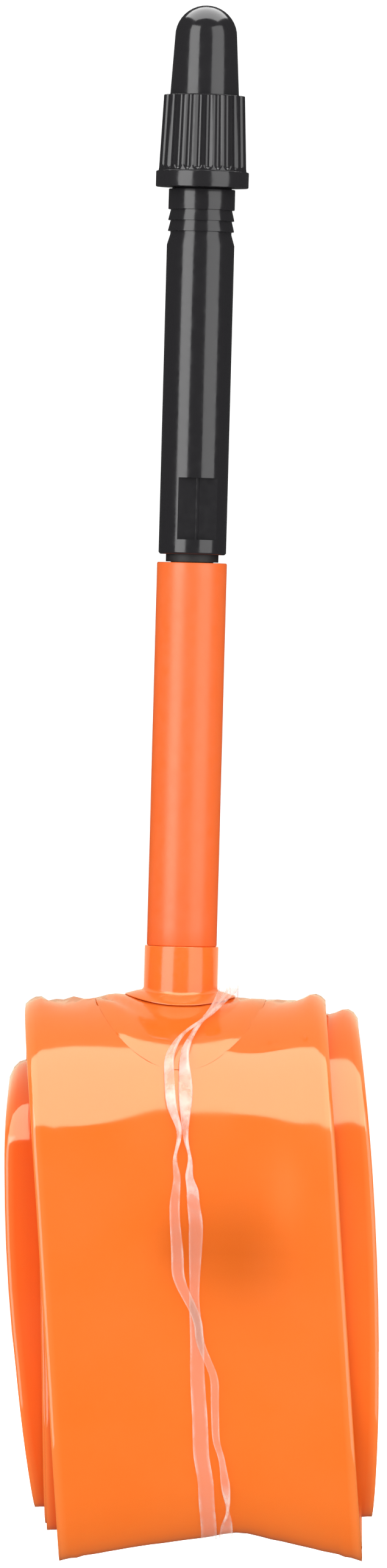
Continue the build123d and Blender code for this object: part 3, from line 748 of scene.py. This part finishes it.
def fold_over(y, z, strand, half):
    """The end of the doubled tube, where one strand turns back into the other."""
    bpy.ops.mesh.spin(steps=FOLD_STEPS, angle=math.pi, center=(0, y, z), axis=(-1, 0, 0))
    stations.extend([(strand, half, 360 if half == 0 else 180)] * FOLD_STEPS)


rolled_tube = flat_section()
core_end = 2 * TURNS - 1
stations.append((1, 0, 0))
run_leg(TAIL, TAIL_CUTS, 1, 0, 0)
wind_strand(1, True)
run_leg(-CORE_LEG, INNER_CUTS, 1, core_end, 180)
fold_over(-CORE_RADIUS, top_centre - CORE_LEG, 1, core_end)
run_leg(CORE_LEG, INNER_CUTS, -1, core_end, 180)
wind_strand(-1, False)
run_leg(-TAIL, TAIL_CUTS, -1, 0, 0)
fold_over(arc_radii[0], top_centre - TAIL, 1, 0)
close_piece()
assert len(stations) * EDGE_POINTS == len(rolled_tube.data.vertices)

# %% [markdown]
# Each point is told the number of its section, and only then are the long sides of all sections cut
# finer, which is much quicker than winding a fine section would be. The new points between two old
# ones of the same section inherit its number.

# %% Cut the sides finer
number_of = rolled_tube.data.attributes.new("section", "FLOAT", "POINT")
for index in range(len(rolled_tube.data.vertices)):
    number_of.data[index].value = index // EDGE_POINTS
middles = []
for number in range(len(stations)):
    ring = rolled_tube.data.vertices[number * EDGE_POINTS:(number + 1) * EDGE_POINTS]
    middles.append(sum((v.co for v in ring), Vector()) / EDGE_POINTS)
open_piece(rolled_tube, "EDGE")
pick(rolled_tube, "edges", lambda e: abs(e.verts[0].co.x - e.verts[1].co.x) > STRAND)
bpy.ops.mesh.subdivide(number_cuts=SIDE_CUTS)
close_piece()
print(len(stations), "sections,", len(rolled_tube.data.vertices), "points")

# %% [markdown]
# ## How the film lies
# A real roll is never neat. The turns have slipped sideways past each other, so that each edge runs
# at a slant. The outermost turn hangs loose below the others, and the band draws the middle of it up,
# which leaves its two corners hanging. At the top the folded edges stand up in small humps with
# creases beside them. All of this is done by moving the points, because each turn has to keep its
# distance from the next, and a simulation of 24 layers would not.

# %% Slip and shape of the film
BAND_LINE = 2.2         # X of the middle of the band, down the front
EDGE_OF_SHEEN = -11.0   # height where the shoulder turns into the front
ARCH_HEIGHT, ARCH_LEFT, ARCH_RIGHT, ARCH_MIDDLE, ARCH_ROUND = 2.5, 15.3, 10.9, 2.2, 1.6
CROWN_TILT, CROWN_LEVEL, FOOT_TILT = 0.065, 5.5, 0.022
LEFT_DROP = [0, 0, 0.6, 1.9, 1.8, 1.6, 1.4, 1.2, 0.9, 0.6, 0.3, 0]  # each turn's upper left corner
LEFT_SAG = [0, 2.5, 2.6, 1.8, 1.4, 1.0, 0.6, 0.3, 0, 0, 0, 0]      # each turn's lower left corner
MIDDLE_BOW = [0, 0.9, 0, -1.25, -0.5, 0, 0, 0, 0, 0, 0, 0]         # sideways, half way down
CORNER, CORNER_DROP = 1.6, [0.5, 0.9, 0.9, 1.7, 1.2, 1, 1, 1, 1, 1, 1, 1]
BAND_DENT, BAND_DENT_WIDTH = 0.2, 1.8
WAVES, RIPPLES = 0.16, 0.06         # heights of the film's long and short unevenness
BELLY, BELLY_REACH = 0.28, 14       # how far the straight sides swell, how far from their middle
SHEEN_LEAN, SHEEN_REACH = 0.09, 5   # how steeply the film leans there, and over what height
SHEEN_SHIFT, SHEEN_WAVE, SHEEN_CALM = 12, 13, 0.4      # where and how slowly that lean comes and goes
CREASE_REACH = 26                   # degrees each side of the crown
STRAY = 0.28                        # how far inner turns wander sideways
CREASES = [             # across, share of the width; how far it slants; height; width
    (-0.93, 0.004, 0.25, 0.06), (-0.80, 0.010, -0.42, 0.05), (-0.66, 0.012, 0.20, 0.05),
    (-0.58, 0.014, -0.22, 0.04), (-0.42, 0.010, 0.08, 0.06), (0.50, -0.012, -0.18, 0.05),
    (0.78, -0.010, -0.34, 0.05), (0.94, -0.004, 0.38, 0.06),
]


def slip_at(half, z):
    """How far along X a half turn has slipped at that height."""
    turn = half // 2
    top = TOP_SLIP[turn]
    bottom = BOTTOM_SLIP[turn] if half % 2 else BOTTOM_SLIP[max(0, turn - 1)]
    if half == 0:
        bottom = top + 0.8
    crown = top_centre + arc_radii[turn]
    lowest = (tight_centre if turn else loose_centre) - arc_radii[turn]
    share = min(1.0, max(0.0, (crown - z) / (crown - lowest)))
    return top + (bottom - top) * share + MIDDLE_BOW[turn] * 4 * share * (1 - share)


def arch_lift(x):
    """How far the band draws up the bottom of the loose turn."""
    away = math.hypot(x - ARCH_MIDDLE, ARCH_ROUND) - ARCH_ROUND
    return ARCH_HEIGHT * max(0.0, 1 - away / (ARCH_RIGHT if x > ARCH_MIDDLE else ARCH_LEFT))


def settle(x, half, angle, z):
    """(outwards, upwards) in mm: how far the film lies off its plain winding."""
    turn = half // 2
    fade = 1 - turn / TURNS
    across = 2 * x / FLAT_WIDTH
    top = max(0.0, math.sin(math.radians(angle)))
    low = max(0.0, -math.sin(math.radians(angle)))
    up = CROWN_TILT * math.copysign(max(0.0, abs(x) - CROWN_LEVEL), x) * top + FOOT_TILT * x * low
    if half in (1, 2):
        up += arch_lift(x) * low ** 1.5
    above = half - 1 if angle > 180 and half % 2 == 0 else half
    up -= LEFT_SAG[above // 2] * smooth(2.0, 13.0, -x) * low
    up -= LEFT_DROP[turn] * smooth(3.0, 12.0, -x) * top
    to_edge = max(0.0, 1 - (FLAT_WIDTH / 2 - abs(x)) / CORNER)
    up -= CORNER_DROP[turn] * (1 - math.sqrt(max(0.0, 1 - to_edge ** 2))) * top
    slant = angle - 90
    out = 0.0
    for middle, lean, height, width in CREASES:
        fold = bump_at(across, middle + lean * slant, width) * math.exp(-(slant / CREASE_REACH) ** 2)
        out += height * fold
    out -= BAND_DENT * bump_at(x, BAND_LINE, BAND_DENT_WIDTH) * (1 - 0.6 * top)
    if half == 1 and angle <= 180:
        height = z - EDGE_OF_SHEEN
        lean = SHEEN_LEAN * math.cos((x + SHEEN_SHIFT) * math.pi / SHEEN_WAVE) * (1 if x < 0 else SHEEN_CALM)
        out -= lean * height * math.exp(-(height / SHEEN_REACH) ** 2)
    along = half * 3 + angle / 60
    out += WAVES * noise.noise(Vector((x * 0.16, along, z * 0.10)))
    out += RIPPLES * noise.noise(Vector((x * 0.55, along * 1.7, z * 0.12 + 7)))
    if angle in (0, 180, 360):
        belly = 1 - ((z - (top_centre + loose_centre) / 2) / BELLY_REACH) ** 2
        out += BELLY * max(0.0, belly) * (1 - across ** 2)
    return out * fade, up


# %% [markdown]
# Every point is then moved from its plain winding. Its distance along the tube and across it become
# its place in the film's pattern, so that the drawn lines follow the tube all the way round.

# %% Lay the film
RIDGE_PLACE, RIDGE_WIDTH, RIDGE_HEIGHT = 1.25, 0.42, 0.13     # the fold's inner line, from the edge
CROWD = 0.8             # how far the points across the strip crowd towards its edges
EDGE_SWELL, LIP_SWELL, LIP_FLARE = 0.14, 0.9, 0.12            # at the fold, and at its lower corners
# Places on the front as (X, spread, height, spread, strength): painted shade where the film stands off
# the turn behind it, and a painted pale glow where light comes through a raised fold.
PAINTED_BACK_SHADE = [(4.0, 4.6, -22.0, 4.4, 0.8), (-1.0, 2.2, -21.5, 2.6, 0.5)]
PAINTED_FOLD_GLOW = [(8.6, 1.5, -16.5, 3.6, 0.4)]
# Painted pale glow along the folded edges: its strength, and how far in from the edge it reaches.
PAINTED_EDGE_GLOW, PAINTED_EDGE_GLOW_REACH = 0.75, 0.9


def crowded(x):
    """Move points towards the two edges, where the film has its detail."""
    half_width = FLAT_WIDTH / 2
    return half_width * math.sin(x / half_width * CROWD * math.pi / 2) / math.sin(CROWD * math.pi / 2)


def spots_at(spots, x, z):
    """How strongly a list of soft spots shows at a place on the front."""
    return sum(strength * (bump_at(x, middle, wide) * bump_at(z, level, tall))
               for middle, wide, level, tall, strength in spots)


def lay_film(piece):
    """Move every point to where the film lies; returns each point's place on the flat tube."""
    vertices = piece.data.vertices
    numbers = [round(item.value) for item in piece.data.attributes["section"].data]
    for name in ("painted_turn_shade", "painted_edge_light", "painted_back_shade"):
        piece.data.attributes.new(name, "FLOAT", "POINT")
    painted_turn_shade, edge_light_share, back_shade = (
        piece.data.attributes[name].data for name in ("painted_turn_shade", "painted_edge_light", "painted_back_shade"))
    gone = [0.0]
    for last, middle in zip(middles, middles[1:]):
        gone.append(gone[-1] + (middle - last).length)
    for index, vertex in enumerate(vertices):
        number = numbers[index]
        strand, half, angle = stations[number]
        middle, along = middles[number], gone[number]
        turn = half // 2
        facing = math.radians(angle)
        outward = Vector((0, math.cos(facing), math.sin(facing)))
        offset = vertex.co - middle
        height = offset.dot(outward)
        endways = offset - Vector((offset.x, 0, 0)) - outward * height
        x = crowded(offset.x)
        from_edge = FLAT_WIDTH / 2 - abs(x)
        rim = smooth(0.0, 1.0, 1 - from_edge)
        low = max(0.0, -outward.z) if half in (1, 2) else 0.0
        if height > 0 and strand > 0:
            ridge = RIDGE_HEIGHT * bump_at(from_edge, RIDGE_PLACE, RIDGE_WIDTH)
            height += ridge * (1 if turn == 0 else 0.6)
        height *= 1 + EDGE_SWELL * rim + (LIP_SWELL * rim * low ** 3 if half == 1 else 0)
        out, up = settle(x, half, angle, middle.z)
        slip = slip_at(half, middle.z)
        if turn:
            slip += STRAY * noise.noise(Vector((turn * 5.3, strand * 2.1, along * 0.02)))
        flare = LIP_FLARE * rim * low ** 3 * math.copysign(1, x)
        vertex.co = middle + outward * (height + out) + endways + Vector((x + slip + flare, 0, up))
        # Painted shade, stronger on turns further in and on the inner strand.
        painted_turn_shade[index].value = min(1.0, turn * 0.45 + (0.2 if strand < 0 else 0))
        # Painted pale glow along the folded edges.
        edge_light_share[index].value = PAINTED_EDGE_GLOW * smooth(0.0, PAINTED_EDGE_GLOW_REACH, PAINTED_EDGE_GLOW_REACH - from_edge)
        # Painted shade where the roll is hollow behind the front, and a painted glow over a raised fold.
        if half == 1 and strand > 0:
            back_shade[index].value = min(1.0, spots_at(PAINTED_BACK_SHADE, x, middle.z))
            edge_light_share[index].value += spots_at(PAINTED_FOLD_GLOW, x, middle.z)
    return [(vertex.co.x, gone[number]) for vertex, number in zip(vertices, numbers)]


lay = lay_film(rolled_tube)
uv = rolled_tube.data.uv_layers.new(name="along_tube")
for loop in rolled_tube.data.loops:
    uv.data[loop.index].uv = lay[loop.vertex_index]
open_piece(rolled_tube)
bpy.ops.mesh.remove_doubles(threshold=0.0005)
bpy.ops.mesh.normals_make_consistent(inside=False)
close_piece()
for face in rolled_tube.data.polygons:
    face.use_smooth = True
finish_piece(rolled_tube, "rolled_tube", FILM_FINISH, "tube", "orange_tpu_film", "tube_ring")

# %% [markdown]
# ## Welded patch
# A thin oval of the same plastic is welded onto the film under the valve. It starts as a flat grid,
# is squeezed into an oval, and is laid on the roll with the same moves as the film below it, so that
# only its rim sinks in. A solidify modifier then gives it its thickness, which runs out to almost
# nothing at the rim, as the weld does. It could be drawn into the film's finish instead, but then it
# would have no edge of its own to catch the light.

# %% Welded patch
patch_high = box_mm("valve_patch")[1]
PATCH_ROOM = 0.08                        # the band's lift over the patch, less the patch
PATCH_GAP, WELD_DEPTH = 0.01, 0.05       # the rim is pressed just into the film
WELD_SHARE, FEATHER_SHARE = 0.15, 0.25   # of the patch's half width, inwards from its rim

start_clean()
bpy.ops.mesh.primitive_grid_add(x_subdivisions=24, y_subdivisions=44, size=2)
welded_patch = bpy.context.object
round_reach = math.asin(patch_high.y / (skin_radius + PATCH_THICK))
flat_places = [(v.co.x, v.co.y) for v in welded_patch.data.vertices]
for vertex in welded_patch.data.vertices:
    u, v, _ = vertex.co
    x = patch_high.x * u * math.sqrt(1 - v * v / 2)
    lean = v * math.sqrt(1 - u * u / 2) * round_reach
    angle = 90 - math.degrees(lean)
    half = 1 if angle > 90 else 0
    height = top_centre + skin_radius * math.sin(math.radians(angle))
    slip = slip_at(half, height)
    out, up = settle(x - slip, half, angle, height)
    buried = WELD_DEPTH * (1 - smooth(0.0, WELD_SHARE, min(1 - abs(u), 1 - abs(v))))
    radius = skin_radius + out + PATCH_GAP - buried
    vertex.co = (x, radius * math.sin(lean), top_centre + radius * math.cos(lean) + up)
thick = welded_patch.vertex_groups.new(name="full_thickness")
for vertex, (u, v) in zip(welded_patch.data.vertices, flat_places):
    inside = min(1 - abs(u), 1 - abs(v))
    thick.add([vertex.index], smooth(0.0, FEATHER_SHARE, inside), "REPLACE")
apply_modifier(welded_patch, "SOLIDIFY", thickness=PATCH_THICK - PATCH_ROOM, offset=1,
               vertex_group="full_thickness", thickness_vertex_group=0.05)
shade(welded_patch, 60)
finish_piece(welded_patch, "welded_patch", PATCH_FINISH, "tube", "orange_tpu_patch", "valve_patch")

# %% [markdown]
# ## Clear elastic band
# The band is a flat ribbon joined into a loop, stretched twice round the roll beside the stem. Down
# the front its two passes cross, twist and lie flat by turns. A torus is already a closed loop of
# round sections, so it is flattened and its sections are laid one by one along the route, each turned
# by the ribbon's twist there.

# %% Band route
BAND_WIDTH, BAND_THICK, BAND_LIFT = 1.5, 0.34, 0.08
BAND_POINTS = 8
STRETCHES = (36, 40, 30, 22)              # sections over the top, down the front, below, up the back
RIM_REACH, PATCH_REACH = 24.0, 56.0       # degrees each side of the crown
GATHERED = 0.55         # share of its width where it is gathered beside the stem
PASS_STEP, CROSSING_LIFT = 0.95, 0.2      # from the first pass to the second: sideways, outwards
JOINED = 0.78           # share of the trip over the top by which the front's stops are followed
EDGE_LIGHT, TWIST_LIGHT, SHEEN_LIGHT = 0.42, 0.5, 0.35    # strength of the painted highlight on the edges, where it twists, and at the sheens
SHEEN_ONE, SHEEN_TWO = (-8.5, 4.5), (-17.2, 0.9)          # heights and spreads of two painted sheens on the band
beside_stem = collar_radius + 0.1 + GATHERED * BAND_WIDTH / 2

# Each stop down the front is (height, X, twist in degrees, share of its full width).
FRONT_ONE = [
    (-0.2, 2.6, 60, 0.35), (-3.3, 0.9, 60, 0.35), (-5.4, 0.45, 40, 0.6), (-8.6, 0.7, 5, 0.9),
    (-10.6, 0.72, 20, 0.6), (-12.4, 0.75, 70, 0.35), (-14.2, 1.35, 100, 0.35), (-15.4, 1.15, 140, 0.5),
    (-17.0, 1.55, 165, 0.75), (-20.2, 1.9, 180, 0.85), (-25.6, 1.9, 180, 0.6), (-31.0, 2.3, 180, 0.85),
    (-39.2, 2.8, 180, 0.95), (-43.7, 3.4, 180, 0.95), (-49.0, 3.75, 180, 0.95),
]
FRONT_TWO = [
    (-0.2, 3.2, 60, 0.35), (-2.4, 1.3, 60, 0.3), (-4.0, -0.3, 50, 0.4), (-6.1, -0.85, 20, 0.6),
    (-9.6, -0.6, 15, 0.65), (-12.0, 0.4, 60, 0.35), (-14.2, -0.2, 100, 0.35), (-15.6, 0.15, 150, 0.45),
    (-18.1, 0.0, 180, 0.6), (-23.5, 0.4, 180, 0.75), (-29.0, 2.4, 180, 0.5), (-33.7, 3.9, 180, 0.5),
    (-38.3, 4.05, 180, 0.45), (-40.8, 4.75, 190, 0.35), (-43.4, 5.05, 180, 0.6), (-45.4, 5.3, 240, 0.35),
    (-47.3, 5.25, 330, 0.7), (-49.0, 5.25, 360, 0.8),
]


def read_stops(stops, height):
    """The values at a height, eased from each stop to the next."""
    if height >= stops[0][0]:
        return stops[0][1:]
    for upper, lower in zip(stops, stops[1:]):
        if height >= lower[0]:
            share = 1 - smooth(lower[0], upper[0], height)
            return [a + (b - a) * share for a, b in zip(upper[1:], lower[1:])]
    return stops[-1][1:]


# %% [markdown]
# One trip round the roll is four stretches: over the top, down the front, under the bottom and up the
# back. The place on the skin comes from the same shape as the film, so that the band lies on it
# everywhere, and it is lifted over the patch, over the foot's rim and where it stands on its edge.

# %% Lay the band
def round_the_roll(way):
    """(outward angle, y, z, half turn) on the outer skin, for way from 0 to 4 round the roll."""
    side, share = int(way), way - int(way)
    low_radius = skin_radius - PITCH / 2
    if side == 0:
        angle = math.radians(180 * share)
        y, z = skin_radius * math.cos(angle), top_centre + skin_radius * math.sin(angle)
        return 180 * share, y, z, 0 if share < 0.5 else 1
    if side == 1:
        return 180, -skin_radius, top_centre + (loose_centre - top_centre) * share, 1
    if side == 2:
        angle = math.radians(180 + 180 * share)
        y = bottom_shift + low_radius * math.cos(angle)
        return 180 + 180 * share, y, loose_centre + low_radius * math.sin(angle), 1 if share < 0.5 else 2
    tail_way = (top_centre - TAIL - STRAND_STEP - loose_centre) / (top_centre - loose_centre)
    near = bottom_shift + low_radius
    y = near + (skin_radius - near) * min(1.0, share / tail_way)
    return 360, y, loose_centre + (top_centre - loose_centre) * share, 2 if share < tail_way else 0


def lift_over(angle):
    """How far the band is lifted by what lies under it near the crown."""
    off_crown = abs(angle - 90) if angle <= 180 else 999
    on_rim = 1 - smooth(RIM_REACH - 8, RIM_REACH, off_crown)
    on_patch = 1 - smooth(PATCH_REACH - 6, PATCH_REACH, off_crown)
    return BAND_LIFT + PATCH_THICK * on_patch + RIM_THICK * on_rim


def band_place(turn, way):
    """Middle of the ribbon, its outward direction, twist and width."""
    angle, y, z, half = round_the_roll(way)
    front = (FRONT_ONE, FRONT_TWO)[turn]
    start, finish = beside_stem + PASS_STEP * turn, beside_stem + PASS_STEP * (1 - turn)
    if 0.5 < way < 2.5:
        x, twist, width = read_stops(front, z)
        if way < JOINED:
            share = smooth(0.5, JOINED, way)
            x = start + (x - start) * share
            twist, width = twist * share, GATHERED + (width - GATHERED) * share
    elif way > 2:
        share = smooth(2.5, 4.0, way)
        _, last_x, twist, last_width = front[-1]
        x = last_x + (finish - last_x) * share
        width = last_width + (GATHERED - last_width) * share
    else:
        x, twist, width = start, 0, GATHERED
    slip = slip_at(half, z)
    out, up = settle(x - slip, half, angle, z)
    facing = math.radians(angle)
    outward = Vector((0, math.cos(facing), math.sin(facing)))
    on_edge = abs(math.sin(math.radians(twist))) * width * BAND_WIDTH / 2
    lift = lift_over(angle) + max(BAND_THICK / 2, on_edge)
    lift += CROSSING_LIFT * turn
    return Vector((x, y, z + up)) + outward * (out + lift), outward, twist, width


ways = [side + i / count for side, count in enumerate(STRETCHES) for i in range(count)]
start_clean()
bpy.ops.mesh.primitive_torus_add(major_segments=2 * len(ways), minor_segments=BAND_POINTS,
                                 major_radius=20, minor_radius=1)
clear_band = bpy.context.object
painted_band_light = clear_band.data.attributes.new("painted_band_light", "FLOAT", "POINT")
for number in range(2 * len(ways)):
    turn, place = divmod(number, len(ways))
    middle, outward, twist, width = band_place(turn, ways[place])
    lean = math.radians(twist)
    across = Vector((math.cos(lean), 0, 0)) + outward * math.sin(lean)
    through = outward * math.cos(lean) - Vector((math.sin(lean), 0, 0))
    for point in range(BAND_POINTS):
        index = number * BAND_POINTS + point
        round_way = 2 * math.pi * (point + 0.5) / BAND_POINTS
        c, s = math.cos(round_way), math.sin(round_way)
        wide = math.copysign(abs(c) ** 0.3, c) * BAND_WIDTH * width / 2
        thick = math.copysign(abs(s) ** 0.5, s) * BAND_THICK / 2
        clear_band.data.vertices[index].co = middle + across * wide + through * thick
        # Painted highlight: the ribbon covers more at its edges, where it twists, and at two painted sheens.
        edge = EDGE_LIGHT if abs(c) > 0.8 else 0.0
        sheen = SHEEN_LIGHT * bump_at(middle.z, *SHEEN_ONE)
        sheen += SHEEN_LIGHT * bump_at(middle.z, *SHEEN_TWO) * (1 - turn)
        painted_band_light.data[index].value = min(1.0, edge + TWIST_LIGHT * abs(math.sin(lean)) + sheen)
apply_modifier(clear_band, "SUBSURF", levels=2)
open_piece(clear_band)
bpy.ops.mesh.normals_make_consistent(inside=False)
close_piece()
shade(clear_band, 50)
finish_piece(clear_band, "clear_band", BAND_FINISH, "tube", "clear_elastic", "elastic_band")

# %% [markdown]
# ## What stays from the frame
# The bush, the seals and the brass core inside the valve already have their true shape, and show only
# when the cap is off. They keep their frame pieces and get their finishes.

# %% Finishes for the frame's own pieces
KEPT = {
    "stem_bush": BUSH_FINISH, "neck_gasket": RUBBER_FINISH, "core_gasket": RUBBER_FINISH,
    "pin_seal": RUBBER_FINISH, "core_barrel": BRASS_FINISH, "valve_pin": BRASS_FINISH,
    "lock_nut": BRASS_FINISH,
}
for name, finish in KEPT.items():
    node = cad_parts[name]
    node.data.materials.clear()
    node.data.materials.append(finish)
print("kept", sorted(KEPT))

# %% [markdown]
# ## Studio
# The object stands in a white sweep. Two tall soft boxes, left and right, draw the two long bands of
# light down the black stem, and one overhead lights the dome. One in front and above puts the broad
# sheen on the shoulder of the roll, and a dim one behind it brightens the crown. These five are only
# mirrored; a large fill and the white room give the even light on the orange. What the plastic
# mirrors elsewhere is kept dim, or its edges would turn grey.

# %% Floor and lights
FLOOR_DROP = 0.4        # mm below the roll

start_clean()
bpy.ops.mesh.primitive_plane_add(size=0.7, location=(0, 0, (tube_low.z - FLOOR_DROP) * MM))
floor = bpy.context.object
floor.name = "studio_floor"
floor.visible_diffuse = floor.visible_glossy = False
paper, _, paper_shader = new_material("white_paper", base_color=linear("F4F3F1"), roughness=0.9)
paper_shader.inputs["Emission Color"].default_value = linear("FFFFFF")
paper_shader.inputs["Emission Strength"].default_value = 1.0
floor.data.materials.append(paper)


def soft_box(name, azimuth, elevation, distance, width, height, strength, aim=(0, 0, 20)):
    """A rectangular light that faces the object; angles as seen from it, 0 towards the camera."""
    a, e = math.radians(azimuth), math.radians(elevation)
    towards = Vector((math.sin(a) * math.cos(e), -math.cos(a) * math.cos(e), math.sin(e)))
    data = bpy.data.lights.new(name, "AREA")
    data.shape, data.size, data.size_y = "RECTANGLE", width * MM, height * MM
    data.energy = strength * math.pi * width * height * MM * MM
    light = bpy.data.objects.new(name, data)
    light.location = (Vector(aim) + towards * distance) * MM
    light.rotation_mode = "QUATERNION"
    light.rotation_quaternion = towards.to_track_quat("Z", "Y")
    light.visible_camera = False
    bpy.context.scene.collection.objects.link(light)
    return light


def only_for(light, name, *pieces):
    """Let a light reach only these pieces."""
    reached = bpy.data.collections.new(name)
    for piece in pieces:
        reached.objects.link(piece)
    light.light_linking.receiver_collection = reached


left_box = soft_box("left_box", -44, 4, 700, 480, 1000, 4.4)
right_box = soft_box("right_box", 47, 4, 700, 600, 1000, 2.6)
top_box = soft_box("top_box", 180, 76, 250, 420, 350, 5.0, aim=(0, 0, 80))
shoulder_box = soft_box("shoulder_box", 0, 61, 260, 420, 254, 7.0, aim=(0, 0, -15))
ceiling_box = soft_box("ceiling_box", 180, 44, 300, 1100, 640, 0.9, aim=(0, 0, -15))
for light in (left_box, right_box, top_box, shoulder_box, ceiling_box):
    light.visible_diffuse = False
shoulder_box.data.color = linear("FFFFDC")[:3]
ceiling_box.data.color = linear("FFFFDC")[:3]
roll_pieces = (rolled_tube, welded_patch, moulded_foot, clear_band)
only_for(top_box, "lit_from_above", screw_cap, upper_stem)
only_for(shoulder_box, "sheen_on_roll", *roll_pieces)
only_for(ceiling_box, "glow_on_roll", *roll_pieces)
fill = soft_box("fill_box", -8, 14, 900, 1100, 900, 0.75)
fill.visible_glossy = False

# %% [markdown]
# The room is white to the camera, bright to the even light and dim to what the plastic mirrors. That
# is the work of black flags round a product table, done here by asking what kind of ray arrives.

# %% World
world = bpy.data.worlds.new("white_room")
world.use_nodes = True
bpy.context.scene.world = world
room = world.node_tree
room.nodes.clear()
ray = add(room, "ShaderNodeLightPath")
glossy = add(room, "ShaderNodeBackground", {"Color": linear("FFFFFF"), "Strength": 0.05})
diffuse = add(room, "ShaderNodeBackground", {"Color": linear("FFFFFF"), "Strength": 1.02})
seen = add(room, "ShaderNodeBackground", {"Color": linear("FFFFFF"), "Strength": 1.2})
dim = add(room, "ShaderNodeMixShader", None, {0: (ray, "Is Glossy Ray"), 1: (diffuse, 0), 2: (glossy, 0)})
both = add(room, "ShaderNodeMixShader", None, {0: (ray, "Is Camera Ray"), 1: (dim, 0), 2: (seen, 0)})
add(room, "ShaderNodeOutputWorld", None, {"Surface": (both, 0)})
bpy.context.scene.view_settings.view_transform = "Standard"
bpy.context.scene.view_settings.look = "None"
